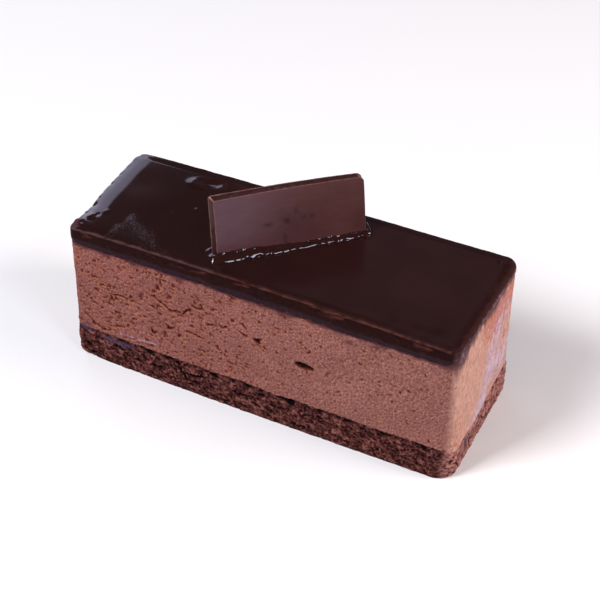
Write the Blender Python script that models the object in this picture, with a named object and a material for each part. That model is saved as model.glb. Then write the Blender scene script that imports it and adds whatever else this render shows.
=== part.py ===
"""Chocolate mousse cake: a cut bar of cocoa sponge, mousse and glaze, with a chocolate plaque.

Metres, +Z up. X runs along the bar, -Y is the long cut front, and the origin is the middle of the
underside. Each layer starts as a straight bar, is cut into a grid, and is then bent to the real
outline and to its wavy seams by the functions below.
"""

import math
import random

import bmesh
import bpy
from mathutils import Matrix, Vector, noise

MM = 0.001

# The bar
LENGTH = 100.0 * MM
WIDTH = 36.0 * MM
HEIGHT = 40.0 * MM
SPONGE_HEIGHT = 9.7 * MM
GLAZE_FOOT = 35.7 * MM
SEAM_GAP = 0.3 * MM

# Plan of the bar: how far each side stands from the middle, at the foot and at the glaze
FRONT_AT_LEFT = (17.4 * MM, 17.3 * MM)
FRONT_AT_RIGHT = (18.9 * MM, 18.3 * MM)
BACK_AT_LEFT = (17.2 * MM, 16.7 * MM)
BACK_AT_RIGHT = (18.3 * MM, 19.0 * MM)
FRONT_BOW = 0.35 * MM
LEFT_END = (50.8 * MM, 50.6 * MM)
LEFT_BOW = 0.5 * MM
RIGHT_END = (50.2 * MM, 50.5 * MM)
RIGHT_SKEW = 0.4 * MM

# Radii of the four upright corners, at the foot and at the glaze
CORNER_RADII = {
    (-1, -1): (2.2 * MM, 1.5 * MM),
    (-1, 1): (2.4 * MM, 2.6 * MM),
    (1, 1): (3.0 * MM, 3.4 * MM),
    (1, -1): (4.4 * MM, 1.5 * MM),
}
CORNER_ZONE = 4.8 * MM
BLANK_RADIUS = 3.0 * MM
BLANK_SEGMENTS = 5

# Grid of the blank
GRID_X = 2.5 * MM
GRID_Y = 2.4 * MM
SPONGE_ROWS = 5
MOUSSE_ROWS = 8
GLAZE_ROWS = 3

# Seams between the layers: they wave near the walls and are level further in
SEAM_DEPTH = 3.0 * MM
SPONGE_WAVE = 0.35 * MM
SPONGE_END_RISE = 0.2 * MM
GLAZE_WAVE = 0.4 * MM
WAVE_SPACING = 9.0 * MM
END_RISE_REACH = 9.0 * MM

# Right end: the knife dragged the mousse over the sponge and up over the glaze
SMEAR_REACH = 2.6 * MM
SMEAR_AT_CORNERS = 1.9 * MM
SMEAR_AT_MIDDLE = 4.7 * MM
GLAZE_LIFT = 2.4 * MM
DRIP_PLACE = -14.5 * MM
DRIP_HALF_WIDTH = 3.6 * MM
DRIP_STRENGTH = 1.15

# Glaze surface
CROWN = 0.7 * MM
CROWN_AT_BACK = 0.5
LEFT_ROLL_LENGTH = 3.2 * MM
LEFT_ROLL_DROP = 1.8 * MM
GLAZE_OVERHANG = 0.35 * MM
EDGE_DROP = 0.25 * MM

# Rough walls
FOOT_INSET = 0.45 * MM
LEFT_FOOT_INSET = 1.1 * MM
FOOT_HEIGHT = 2.4 * MM
CRUMB_RELIEF = 0.4 * MM
CRUMB_SPACING = 2.6 * MM
MOUSSE_RELIEF = 0.16 * MM
MOUSSE_SPACING = 6.0 * MM
RELIEF_BIAS = 0.3

# Hollows: torn ones in the sponge, bubbles in the mousse
CRUMB_SEED = 19
CRUMB_COUNTS = {"front": 12, "back": 9, "left": 3, "right": 3}
CRUMB_HEIGHTS = (2.6 * MM, 6.4 * MM)
CRUMB_RADII = (0.7 * MM, 1.5 * MM)
BUBBLE_SEED = 7
BUBBLE_COUNTS = {"front": 20, "back": 12, "left": 4}
BUBBLE_HEIGHTS = (12.5 * MM, 33.0 * MM)
BUBBLE_RADII = (0.5 * MM, 1.0 * MM)
HOLLOW_DEPTH = 0.7
HOLLOW_FLATNESS = (0.4, 0.7)
HOLLOW_TILT = (-0.2, 0.5)
HOLLOW_SPACING = 4.2
LEFTWARD = {"sponge": 0.3, "mousse": 0.6}
SLIT_PLACE = (12.5 * MM, 21.0 * MM)
SLIT_SIZE = (2.5 * MM, 0.9 * MM, 0.55 * MM)
SLIT_TILT = math.radians(9)
PIT_PLACE = (0.2 * MM, 23.6 * MM)
PIT_SIZE = (1.2 * MM, 0.8 * MM, 0.5 * MM)
PIT_TILT = math.radians(40)

# Plaque
PLAQUE_WIDTH = 35.2 * MM
PLAQUE_THICKNESS = 2.2 * MM
PLAQUE_SHOWN = 14.9 * MM
PLAQUE_SUNK = 1.5 * MM
PLAQUE_CORNER = 1.4 * MM
PLAQUE_RIM = 0.2 * MM
PLAQUE_GROOVE = (0.32 * MM, 0.14 * MM)
PLAQUE_BEND = 0.25 * MM
PLAQUE_TOP_BOW = 0.2 * MM
PLAQUE_LEFT_SPLAY = 0.9 * MM
PLAQUE_TOP_SPLAY = (0.6 * MM, 0.15 * MM)
PLAQUE_COLUMNS = 10
PLAQUE_FOOT = Vector((0.8 * MM, -0.5 * MM))
PLAQUE_YAW = math.radians(41.7)
PLAQUE_LEAN = math.radians(10.9)
SLOT_GAP = 0.3 * MM

# Bead of chocolate squeezed out round the plaque's foot
BEAD_OFFSET = 1.1 * MM
BEAD_RADIUS = 1.5 * MM
BEAD_SINK = 0.4 * MM
BEAD_STEP = 2.0 * MM
BEAD_VARIATION = 0.22


def blend(low, high, fraction):
    """The value at this fraction of the way from low to high."""
    return low + (high - low) * fraction


def ease(value):
    """A smooth step from 0 to 1, held at the ends."""
    value = min(max(value, 0.0), 1.0)
    return value * value * (3.0 - 2.0 * value)


def ripple(x, y, z, spacing):
    """Smooth noise of about -1 to 1 whose bumps lie this far apart."""
    return noise.noise(Vector((x, y, z)) / spacing)


def edge_distance(x, y):
    """How far a point of the straight bar lies inside its outline."""
    return min(LENGTH / 2 - abs(x), WIDTH / 2 - abs(y))


def sponge_roof(x, y):
    """Height of the seam between the sponge and the mousse."""
    near_wall = 1.0 - ease(edge_distance(x, y) / SEAM_DEPTH)
    wave = SPONGE_WAVE * ripple(x, y, 0.0, WAVE_SPACING)
    end_rise = SPONGE_END_RISE * ease(1.0 - (LENGTH / 2 - abs(x)) / END_RISE_REACH)
    across = 1.0 - (2.0 * y / WIDTH) ** 2
    smear = blend(SMEAR_AT_CORNERS, SMEAR_AT_MIDDLE, across)
    smear *= max(0.0, 1.0 - (LENGTH / 2 - x) / SMEAR_REACH) ** 2
    return SPONGE_HEIGHT + near_wall * (wave + end_rise) - smear


def glaze_floor(x, y):
    """Height of the seam between the mousse and the glaze."""
    near_wall = 1.0 - ease(edge_distance(x, y) / SEAM_DEPTH)
    wave = GLAZE_WAVE * ripple(x, y, HEIGHT, WAVE_SPACING)
    drip = math.exp(-(((y - DRIP_PLACE) / DRIP_HALF_WIDTH) ** 2))
    lift = GLAZE_LIFT * max(0.0, 1.0 - (LENGTH / 2 - x) / SMEAR_REACH) ** 2
    return GLAZE_FOOT + near_wall * wave + lift * (1.0 - DRIP_STRENGTH * drip)


def glaze_roof(x, y):
    """Height of the glaze, crowned along its middle and rolled over at the left end."""
    along = 1.0 - (2.0 * x / LENGTH) ** 2
    across = blend(1.0, CROWN_AT_BACK, y / WIDTH + 0.5)
    roll = min(max((x + LENGTH / 2) / LEFT_ROLL_LENGTH, 0.0), 1.0)
    drop = LEFT_ROLL_DROP * (1.0 - math.sqrt(1.0 - (1.0 - roll) ** 2))
    rim = EDGE_DROP * (1.0 - ease(edge_distance(x, y) / GRID_Y))
    return HEIGHT + CROWN * along * across - drop - rim


def corner_reach(angle, radius):
    """Distance from the corner zone's inner point to its outline, in the direction of this angle."""
    run = CORNER_ZONE - radius
    cos, sin = math.cos(angle), math.sin(angle)
    straight = CORNER_ZONE / max(cos, sin)
    if min(cos, sin) * straight <= run:
        return straight
    along = run * (cos + sin)
    return along + math.sqrt(max(along * along - 2.0 * run * run + radius * radius, 0.0))


def round_corner(x, y, height):
    """Gives the blank's corners the radius that they have at this height."""
    side = (1 if x > 0 else -1, 1 if y > 0 else -1)
    across = abs(x) - (LENGTH / 2 - CORNER_ZONE)
    deep = abs(y) - (WIDTH / 2 - CORNER_ZONE)
    if across <= 0.0 or deep <= 0.0:
        return x, y
    radius = blend(*CORNER_RADII[side], height / HEIGHT)
    angle = math.atan2(deep, across)
    scale = corner_reach(angle, radius) / corner_reach(angle, BLANK_RADIUS)
    x = side[0] * (LENGTH / 2 - CORNER_ZONE + across * scale)
    y = side[1] * (WIDTH / 2 - CORNER_ZONE + deep * scale)
    return x, y


def front_line(x, height):
    """Y of the cut front at this place along the bar."""
    along, up = x / LENGTH + 0.5, height / HEIGHT
    flat = blend(blend(*FRONT_AT_LEFT, up), blend(*FRONT_AT_RIGHT, up), along)
    return -flat - FRONT_BOW * math.sin(math.pi * along) * (1.0 - up)


def back_line(x, height):
    """Y of the back at this place along the bar."""
    along, up = x / LENGTH + 0.5, height / HEIGHT
    return blend(blend(*BACK_AT_LEFT, up), blend(*BACK_AT_RIGHT, up), along)


def foot_inset(x, height):
    """How far the crumbly foot of the sponge is rounded off."""
    inset = blend(LEFT_FOOT_INSET, FOOT_INSET, ease((x + LENGTH / 2) / END_RISE_REACH))
    return inset * max(0.0, 1.0 - height / FOOT_HEIGHT) ** 2


def in_plan(x, y, height):
    """Moves a point of the straight bar to its place in the real, slightly tapered outline."""
    x, y = round_corner(x, y, height)
    up = height / HEIGHT
    bow = LEFT_BOW * (2.0 * y / WIDTH) ** 2
    left = -blend(*LEFT_END, up) + bow - GLAZE_OVERHANG * ease((height - GLAZE_FOOT) / MM)
    right = blend(*RIGHT_END, up) - RIGHT_SKEW * (2.0 * y / WIDTH) * (1.0 - up)
    inset = foot_inset(x, height)
    placed_x = blend(left + inset, right - inset, x / LENGTH + 0.5)
    front, back = front_line(x, height) + inset, back_line(x, height) - inset
    placed_y = blend(front, back, y / WIDTH + 0.5)
    return placed_x, placed_y


def grid_lines(length, spacing):
    """Evenly spaced cuts across a length that is centred on zero."""
    count = round(length / spacing)
    return [length * (i / count - 0.5) for i in range(1, count)]


def cut_grid(bm, axis, places):
    """Cuts the whole mesh by planes across one axis."""
    normal = Vector((0.0, 0.0, 0.0))
    normal[axis] = 1.0
    for place in places:
        geometry = bm.verts[:] + bm.edges[:] + bm.faces[:]
        bmesh.ops.bisect_plane(bm, geom=geometry, plane_co=normal * place, plane_no=normal)


def bar_blank(rows, fine_columns):
    """A straight bar with rounded corners, cut into a grid, ready to be shaped."""
    bm = bmesh.new()
    bmesh.ops.create_cube(bm, size=1.0)
    bmesh.ops.scale(bm, verts=bm.verts, vec=(LENGTH, WIDTH, HEIGHT))
    bmesh.ops.translate(bm, verts=bm.verts, vec=(0.0, 0.0, HEIGHT / 2))
    upright = [e for e in bm.edges if abs(e.verts[0].co.z - e.verts[1].co.z) > HEIGHT / 2]
    bmesh.ops.bevel(
        bm,
        geom=upright,
        offset=BLANK_RADIUS,
        offset_type="OFFSET",
        segments=BLANK_SEGMENTS,
        profile=0.5,
        affect="EDGES",
    )
    roll_cuts = [LEFT_ROLL_LENGTH * part - LENGTH / 2 for part in (0.1, 0.3, 0.6, 1.0)]
    smear_cut = LENGTH / 2 - SMEAR_REACH / 2
    cut_grid(bm, 0, grid_lines(LENGTH, GRID_X) + roll_cuts + [smear_cut])
    cut_grid(bm, 1, grid_lines(WIDTH, GRID_Y))
    cut_grid(bm, 2, [HEIGHT * i / rows for i in range(1, rows)])
    bmesh.ops.remove_doubles(bm, verts=bm.verts, dist=0.05 * MM)
    if fine_columns:
        level = [e for e in bm.edges if on_wall(e) and is_level(e)]
        bmesh.ops.subdivide_edges(bm, edges=level, cuts=1)
    return bm


def on_wall(edge):
    """Whether an edge of the blank lies on its upright wall."""
    return any(abs(face.normal.z) < 0.5 for face in edge.link_faces)


def is_level(edge):
    """Whether an edge of the blank lies level."""
    return abs(edge.verts[0].co.z - edge.verts[1].co.z) < 0.01 * MM


def join_level_faces(bm, height):
    """Makes one face of the inner faces that lie at this height."""
    level = [f for f in bm.faces if all(abs(v.co.z - height) < 0.002 * MM for v in f.verts)]
    if len(level) > 1:
        bmesh.ops.dissolve_faces(bm, faces=level)


def shape_layer(bm, floor, roof, relief, spacing):
    """Bends a blank between its two seams, and roughens its wall between them."""
    bm.normal_update()
    wall = {v: v.co.z / HEIGHT for f in bm.faces if abs(f.normal.z) < 0.5 for v in f.verts}
    for vert in bm.verts:
        x, y, z = vert.co
        height = blend(floor(x, y), roof(x, y), z / HEIGHT)
        vert.co = (*in_plan(x, y, height), height)
    bm.normal_update()
    for vert, part in wall.items():
        outward = Vector((vert.normal.x, vert.normal.y, 0.0)).normalized()
        rough = ripple(*vert.co, spacing) + ripple(*vert.co, spacing / 2) / 2 - RELIEF_BIAS
        vert.co += outward * relief * rough * math.sin(math.pi * part)


def new_object(name, bm, collection, colour, roughness):
    """Closes a shaped mesh into a named object with its own material."""
    bmesh.ops.triangulate(bm, faces=bm.faces, quad_method="BEAUTY", ngon_method="BEAUTY")
    bmesh.ops.recalc_face_normals(bm, faces=bm.faces)
    mesh = bpy.data.meshes.new(name)
    bm.to_mesh(mesh)
    bm.free()
    mesh.shade_smooth()
    mesh.set_sharp_from_angle(angle=math.radians(35))
    material = bpy.data.materials.new(name + "_finish")
    material.use_nodes = True
    shader = material.node_tree.nodes["Principled BSDF"]
    shader.inputs["Base Color"].default_value = (*colour, 1.0)
    shader.inputs["Roughness"].default_value = roughness
    shader.inputs["Metallic"].default_value = 0.0
    mesh.materials.append(material)
    piece = bpy.data.objects.new(name, mesh)
    collection.objects.link(piece)
    return piece


def new_collection(name, helper):
    """A collection of the scene. A helper's objects aren't rendered."""
    collection = bpy.data.collections.new(name)
    bpy.context.scene.collection.children.link(collection)
    collection.hide_render = helper
    return collection


def apply_boolean(piece, helpers, operation, solver="EXACT"):
    """Joins a collection's solids to a piece, or cuts them from it, and removes them."""
    modifier = piece.modifiers.new(operation.title(), "BOOLEAN")
    modifier.operand_type = "COLLECTION"
    modifier.collection = helpers
    modifier.operation = operation
    modifier.solver = solver
    graph = bpy.context.evaluated_depsgraph_get()
    result = bpy.data.meshes.new_from_object(piece.evaluated_get(graph))
    piece.modifiers.clear()
    before = piece.data
    piece.data = result
    bpy.data.meshes.remove(before)
    for helper in list(helpers.objects):
        bpy.data.objects.remove(helper)
    bpy.data.collections.remove(helpers)


def add_helper(name, bm, collection):
    """A helper solid, shown as wire and never rendered."""
    mesh = bpy.data.meshes.new(name)
    bmesh.ops.recalc_face_normals(bm, faces=bm.faces)
    bm.to_mesh(mesh)
    bm.free()
    helper = bpy.data.objects.new(name, mesh)
    helper.display_type = "WIRE"
    helper.hide_render = True
    collection.objects.link(helper)


def add_hollow(collection, place, size, tilt, turn):
    """An ellipsoid that opens a bubble or a torn hollow in a wall."""
    bm = bmesh.new()
    bmesh.ops.create_uvsphere(bm, u_segments=8, v_segments=4, radius=1.0)
    frame = Matrix.Translation(place) @ Matrix.Rotation(turn, 4, "Z")
    frame @= Matrix.Rotation(tilt, 4, "Y") @ Matrix.Diagonal((*size, 1.0))
    bmesh.ops.transform(bm, matrix=frame, verts=bm.verts)
    add_helper("Hollow", bm, collection)


def wall_point(side, along, height):
    """A point on the front, back, left or right wall, and the turn about Z of that wall."""
    if side == "front":
        return Vector((along, front_line(along, height), height)), 0.0
    if side == "back":
        return Vector((along, back_line(along, height), height)), 0.0
    end = -LEFT_END[0] if side == "left" else RIGHT_END[0]
    return Vector((end, along, height)), math.pi / 2


def scatter_hollows(collection, seed, counts, heights, radii, leftward):
    """Scatters hollows over the walls, each clear of the others and of the corners."""
    rng = random.Random(seed)
    for side, count in counts.items():
        reach = (LENGTH if side in ("front", "back") else WIDTH) / 2 - CORNER_ZONE
        taken = []
        while len(taken) < count:
            along = rng.uniform(-reach, reach)
            if side == "front":
                along = blend(along, -reach, leftward * rng.random())
            place, turn = wall_point(side, along, rng.uniform(*heights))
            long = rng.uniform(*radii)
            if any((place - other).length < HOLLOW_SPACING * radii[1] for other in taken):
                continue
            taken.append(place)
            size = (long, HOLLOW_DEPTH * radii[0], long * rng.uniform(*HOLLOW_FLATNESS))
            add_hollow(collection, place, size, rng.uniform(*HOLLOW_TILT), turn)


def make_sponge(collection):
    """The cocoa sponge that the cake stands on, with torn hollows in its walls."""
    bm = bar_blank(SPONGE_ROWS, fine_columns=True)
    shape_layer(bm, lambda x, y: 0.0, lambda x, y: sponge_roof(x, y) - SEAM_GAP / 2,
                CRUMB_RELIEF, CRUMB_SPACING)
    join_level_faces(bm, 0.0)
    join_level_faces(bm, SPONGE_HEIGHT - SEAM_GAP / 2)
    sponge = new_object("sponge_base", bm, collection, (0.105, 0.036, 0.030), 0.9)
    hollows = new_collection("Sponge_hollows", helper=True)
    scatter_hollows(hollows, CRUMB_SEED, CRUMB_COUNTS, CRUMB_HEIGHTS, CRUMB_RADII,
                    LEFTWARD["sponge"])
    apply_boolean(sponge, hollows, "DIFFERENCE")


def make_mousse(collection):
    """The mousse, with the long slit and the larger bubbles that its cut walls open."""
    bm = bar_blank(MOUSSE_ROWS, fine_columns=False)
    shape_layer(bm, lambda x, y: sponge_roof(x, y) + SEAM_GAP / 2,
                lambda x, y: glaze_floor(x, y) - SEAM_GAP / 2, MOUSSE_RELIEF, MOUSSE_SPACING)
    join_level_faces(bm, SPONGE_HEIGHT + SEAM_GAP / 2)
    join_level_faces(bm, GLAZE_FOOT - SEAM_GAP / 2)
    mousse = new_object("mousse", bm, collection, (0.255, 0.102, 0.082), 0.6)
    bubbles = new_collection("Bubbles", helper=True)
    add_hollow(bubbles, wall_point("front", *SLIT_PLACE)[0], SLIT_SIZE, SLIT_TILT, 0.0)
    add_hollow(bubbles, wall_point("front", *PIT_PLACE)[0], PIT_SIZE, PIT_TILT, 0.0)
    apply_boolean(mousse, bubbles, "DIFFERENCE")
    bubbles = new_collection("Small_bubbles", helper=True)
    scatter_hollows(bubbles, BUBBLE_SEED, BUBBLE_COUNTS, BUBBLE_HEIGHTS, BUBBLE_RADII,
                    LEFTWARD["mousse"])
    apply_boolean(mousse, bubbles, "DIFFERENCE")


def plaque_blank(grow):
    """The plaque's slab, grown on every side, standing on its foot and slightly bent."""
    width = PLAQUE_WIDTH + 2.0 * grow
    thickness = PLAQUE_THICKNESS + 2.0 * grow
    height = PLAQUE_SHOWN + PLAQUE_SUNK + 2.0 * grow
    bm = bmesh.new()
    bmesh.ops.create_cube(bm, size=1.0)
    bmesh.ops.scale(bm, verts=bm.verts, vec=(width, thickness, height))
    middle = (0.0, PLAQUE_THICKNESS / 2, height / 2 - PLAQUE_SUNK - grow)
    bmesh.ops.translate(bm, verts=bm.verts, vec=middle)
    top = middle[2] + height / 2
    crosswise = [e for e in bm.edges if all(v.co.z > top - MM for v in e.verts)
                 and abs(e.verts[0].co.y - e.verts[1].co.y) > thickness / 2]
    bmesh.ops.bevel(bm, geom=crosswise, offset=PLAQUE_CORNER, offset_type="OFFSET", segments=4,
                    profile=0.5, affect="EDGES")
    cut_grid(bm, 0, grid_lines(width - 2.0 * PLAQUE_CORNER, width / PLAQUE_COLUMNS))
    return bm


def bend_plaque(bm):
    """Bends the plaque a little, and splays its left and top edges out towards its back."""
    for vert in bm.verts:
        x, y, z = vert.co
        along = 2.0 * x / PLAQUE_WIDTH
        up = max(z, 0.0) / PLAQUE_SHOWN
        deep = y / PLAQUE_THICKNESS
        near_left = max(0.0, 1.0 - (x + PLAQUE_WIDTH / 2) / PLAQUE_CORNER)
        near_top = max(0.0, 1.0 - (PLAQUE_SHOWN - z) / PLAQUE_CORNER)
        top_splay = blend(*PLAQUE_TOP_SPLAY, along / 2 + 0.5)
        vert.co.x -= PLAQUE_LEFT_SPLAY * deep * near_left
        vert.co.y += PLAQUE_BEND * (1.0 - along * along) * up
        vert.co.z += PLAQUE_TOP_BOW * (1.0 - along * along) * up + top_splay * deep * near_top


def plaque_frame():
    """Where the plaque stands: its front face's foot line, turned and leaning back."""
    foot = Vector((*PLAQUE_FOOT, glaze_roof(*PLAQUE_FOOT)))
    turned = Matrix.Rotation(PLAQUE_YAW, 4, "Z")
    return Matrix.Translation(foot) @ turned @ Matrix.Rotation(-PLAQUE_LEAN, 4, "X")


def make_plaque(collection):
    """The upright chocolate plaque, with thin rims along its edges and a groove between them."""
    bm = plaque_blank(0.0)
    bm.normal_update()
    arrises = [e for e in bm.edges if sum(abs(f.normal.y) > 0.9 for f in e.link_faces) == 1]
    bmesh.ops.bevel(bm, geom=arrises, offset=PLAQUE_RIM, offset_type="OFFSET", segments=1,
                    profile=0.5, affect="EDGES")
    bm.normal_update()
    edge_faces = [f for f in bm.faces if abs(f.normal.y) < 0.2 and f.normal.z > -0.5]
    bmesh.ops.inset_region(bm, faces=edge_faces, thickness=PLAQUE_GROOVE[0],
                           depth=-PLAQUE_GROOVE[1], use_even_offset=True)
    bend_plaque(bm)
    bmesh.ops.transform(bm, matrix=plaque_frame(), verts=bm.verts)
    new_object("plaque", bm, collection, (0.085, 0.030, 0.031), 0.35)


def bead_points():
    """Points along the bead: a rounded rectangle just outside the plaque's foot."""
    half_x = PLAQUE_WIDTH / 2 + BEAD_OFFSET
    half_y = PLAQUE_THICKNESS / 2 + BEAD_OFFSET
    runs = [((half_x, -half_y), (half_x, half_y)), ((half_x, half_y), (-half_x, half_y)),
            ((-half_x, half_y), (-half_x, -half_y)), ((-half_x, -half_y), (half_x, -half_y))]
    points = []
    for start, end in runs:
        start, end = Vector(start), Vector(end)
        steps = max(2, round((end - start).length / BEAD_STEP))
        points += [start.lerp(end, (i + 0.5) / steps) for i in range(steps)]
    return points


def add_bead(collection):
    """The uneven bead, as a closed tube that half sinks into the glaze."""
    curve = bpy.data.curves.new("Bead", "CURVE")
    curve.dimensions = "3D"
    curve.bevel_depth = BEAD_RADIUS
    curve.bevel_resolution = 2
    points = bead_points()
    spline = curve.splines.new("POLY")
    spline.points.add(len(points) - 1)
    spline.use_cyclic_u = True
    frame = plaque_frame()
    for target, point in zip(spline.points, points):
        place = frame @ Vector((point.x, point.y + PLAQUE_THICKNESS / 2, 0.0))
        place.z = glaze_roof(place.x, place.y) - BEAD_SINK
        target.co = (*place, 1.0)
        slim = 1.0 - 0.14 * point.x / (PLAQUE_WIDTH / 2)
        target.radius = slim + BEAD_VARIATION * ripple(*place, 3.0 * MM)
    tube = bpy.data.objects.new("Bead", curve)
    bpy.context.scene.collection.objects.link(tube)
    graph = bpy.context.evaluated_depsgraph_get()
    mesh = bpy.data.meshes.new_from_object(tube.evaluated_get(graph))
    bpy.data.objects.remove(tube)
    bm = bmesh.new()
    bm.from_mesh(mesh)
    bpy.data.meshes.remove(mesh)
    bmesh.ops.remove_doubles(bm, verts=bm.verts, dist=0.01 * MM)
    add_helper("Bead", bm, collection)


def make_glaze(collection):
    """The dark glaze with the bead fused on, and the slot that the plaque's foot stands in."""
    bm = bar_blank(GLAZE_ROWS, fine_columns=False)
    shape_layer(bm, lambda x, y: glaze_floor(x, y) + SEAM_GAP / 2, glaze_roof, 0.0, WAVE_SPACING)
    join_level_faces(bm, GLAZE_FOOT + SEAM_GAP / 2)
    glaze = new_object("glaze", bm, collection, (0.026, 0.010, 0.010), 0.12)
    bead = new_collection("Bead", helper=True)
    add_bead(bead)
    apply_boolean(glaze, bead, "UNION", "MANIFOLD")
    slot = new_collection("Slot", helper=True)
    cutter = plaque_blank(SLOT_GAP)
    bend_plaque(cutter)
    bmesh.ops.transform(cutter, matrix=plaque_frame(), verts=cutter.verts)
    add_helper("Slot_cutter", cutter, slot)
    apply_boolean(glaze, slot, "DIFFERENCE")


def centre_on_origin(collection):
    """Shifts all the pieces alike, so that their common box is centred on the origin."""
    corners = [v.co for piece in collection.objects for v in piece.data.vertices]
    shift = Vector([-(min(c[i] for c in corners) + max(c[i] for c in corners)) / 2 for i in (0, 1)])
    for piece in collection.objects:
        piece.data.transform(Matrix.Translation((*shift, 0.0)))


def main():
    """Builds the cake."""
    for leftover in list(bpy.data.objects):
        bpy.data.objects.remove(leftover)
    cake = new_collection("Chocolate_mousse_cake", helper=False)
    make_sponge(cake)
    make_mousse(cake)
    make_glaze(cake)
    make_plaque(cake)
    centre_on_origin(cake)


main()
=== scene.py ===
"""Looks of a cut bar of chocolate mousse cake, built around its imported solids.

Metres, +Z up, in the solids' own frame: X runs along the bar, -Y is the long cut front, and the
origin is the middle of the underside. The bar is a cocoa sponge, a mousse and a mirror glaze,
and a chocolate plaque stands in the glaze in a bead of set chocolate. Each layer starts as a
straight cube, is cut into a fine grid and bent to the plan that the solids follow, and then its
walls get their bubbles, tears and crumbs as real relief.
"""

import logging
import math
import random
from collections.abc import Callable, Sequence
from dataclasses import dataclass, field
from enum import Enum

import bmesh
import bpy
import numpy as np
from mathutils import Matrix, Vector, noise


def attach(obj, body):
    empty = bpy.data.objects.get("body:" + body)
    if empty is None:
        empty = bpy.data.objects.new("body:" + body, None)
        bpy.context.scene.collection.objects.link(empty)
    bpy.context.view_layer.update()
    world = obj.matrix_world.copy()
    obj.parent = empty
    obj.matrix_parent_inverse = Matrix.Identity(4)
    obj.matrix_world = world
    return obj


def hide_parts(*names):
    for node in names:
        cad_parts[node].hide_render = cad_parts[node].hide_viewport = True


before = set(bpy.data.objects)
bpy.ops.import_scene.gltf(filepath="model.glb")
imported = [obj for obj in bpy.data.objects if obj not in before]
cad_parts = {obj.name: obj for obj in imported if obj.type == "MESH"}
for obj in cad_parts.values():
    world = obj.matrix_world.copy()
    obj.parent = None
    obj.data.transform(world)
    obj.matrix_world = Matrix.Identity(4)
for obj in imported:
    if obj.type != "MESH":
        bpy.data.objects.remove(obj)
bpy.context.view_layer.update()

MM = 0.001
BODY = "root"
# The solids are centred on their common box, which shifts the plan by this much
PLAN_SHIFT = Vector((0.2 * MM, 0.0, 0.0))

log = logging.getLogger("mousse_cake")


class Wall(Enum):
    """The bar's four upright sides."""

    FRONT = "front"
    BACK = "back"
    LEFT = "left"
    RIGHT = "right"


class Solid(Enum):
    """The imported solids, named as their nodes in the frame."""

    SPONGE = "sponge_base"
    MOUSSE = "mousse"
    GLAZE = "glaze"
    PLAQUE = "plaque"


class Pick(Enum):
    """What a choice in edit mode selects, by its number in the select mode."""

    EDGE = 1
    FACE = 2


# ---------------------------------------------------------------- numbers and colours


def linear(code: str) -> tuple[float, float, float, float]:
    """Turns an sRGB hex colour into a linear one.

    Args:
        code: six hex digits, such as "8b584f".

    Returns:
        Red, green, blue and an alpha of 1.
    """
    channels = [int(code[i:i + 2], 16) / 255.0 for i in (0, 2, 4)]
    light = [c / 12.92 if c <= 0.04045 else ((c + 0.055) / 1.055) ** 2.4 for c in channels]
    return (*light, 1.0)


def mix(low: float, high: float, share: np.ndarray | float) -> np.ndarray | float:
    """The value at this share of the way from low to high."""
    return low + (high - low) * share


def ease(value: np.ndarray | float) -> np.ndarray | float:
    """A smooth step from 0 to 1, held at the ends."""
    value = np.clip(value, 0.0, 1.0)
    return value * value * (3.0 - 2.0 * value)


def hump(value: np.ndarray | float) -> np.ndarray | float:
    """A smooth bump, 1 at zero and fading out by about 2."""
    return np.exp(-np.square(value))


def rows(x: np.ndarray, y: np.ndarray | float = 0.0, z: np.ndarray | float = 0.0) -> np.ndarray:
    """Rows of x, y, z from a column for each, or one number for all."""
    return np.stack(np.broadcast_arrays(x, y, z), axis=1)


def ripple(points: np.ndarray, spacing: float | Sequence[float]) -> np.ndarray:
    """Smooth noise of about -1 to 1.

    Args:
        points: rows of x, y, z in metres.
        spacing: how far its bumps lie apart, alike in all directions or for each axis.

    Returns:
        One value for each row.
    """
    scaled = points / np.asarray(spacing)
    return np.array([noise.noise(point) for point in scaled.tolist()])


def ripples(points: np.ndarray, *kinds: tuple[float, float], base: float = 0.0) -> np.ndarray:
    """A base with several ripples added, each given by its height and its spacing."""
    return sum((height * ripple(points, spacing) for height, spacing in kinds), base)


def cells(points: np.ndarray, spacing: float | Sequence[float]) -> np.ndarray:
    """How far each point is from the nearest of some scattered centres.

    Args:
        points: rows of x, y, z in metres.
        spacing: how far the centres lie apart, alike in all directions or for each axis.

    Returns:
        One distance for each row, as a share of the spacing.
    """
    scaled = points / np.asarray(spacing)
    return np.array([noise.voronoi(point)[0][0] for point in scaled.tolist()])


def oval(aside: np.ndarray, above: np.ndarray, size: Sequence[float], turn: float) -> np.ndarray:
    """How far out each point lies in a turned oval, 0 in its middle and 1 on its outline.

    Args:
        aside: places along the first axis, from the oval's middle.
        above: places along the second axis, from its middle.
        size: the oval's half length and half width.
        turn: how far its length is turned from the first axis, in radians.

    Returns:
        One share for each point.
    """
    cos, sin = math.cos(turn), math.sin(turn)
    return np.hypot((aside * cos + above * sin) / size[0], (above * cos - aside * sin) / size[1])


def direction(azimuth: float, elevation: float) -> Vector:
    """The way out from the cake, in degrees. Azimuth 0 is its front, and 90 its right end."""
    turn, up = math.radians(azimuth), math.radians(elevation)
    return Vector((math.sin(turn) * math.cos(up), -math.cos(turn) * math.cos(up), math.sin(up)))


# ---------------------------------------------------------------- modelling by operators


def deselect_all() -> None:
    """Leaves nothing selected, as an operator acts on all that is."""
    if bpy.context.mode != "OBJECT":
        bpy.ops.object.mode_set(mode="OBJECT")
    bpy.ops.object.select_all(action="DESELECT")


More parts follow.
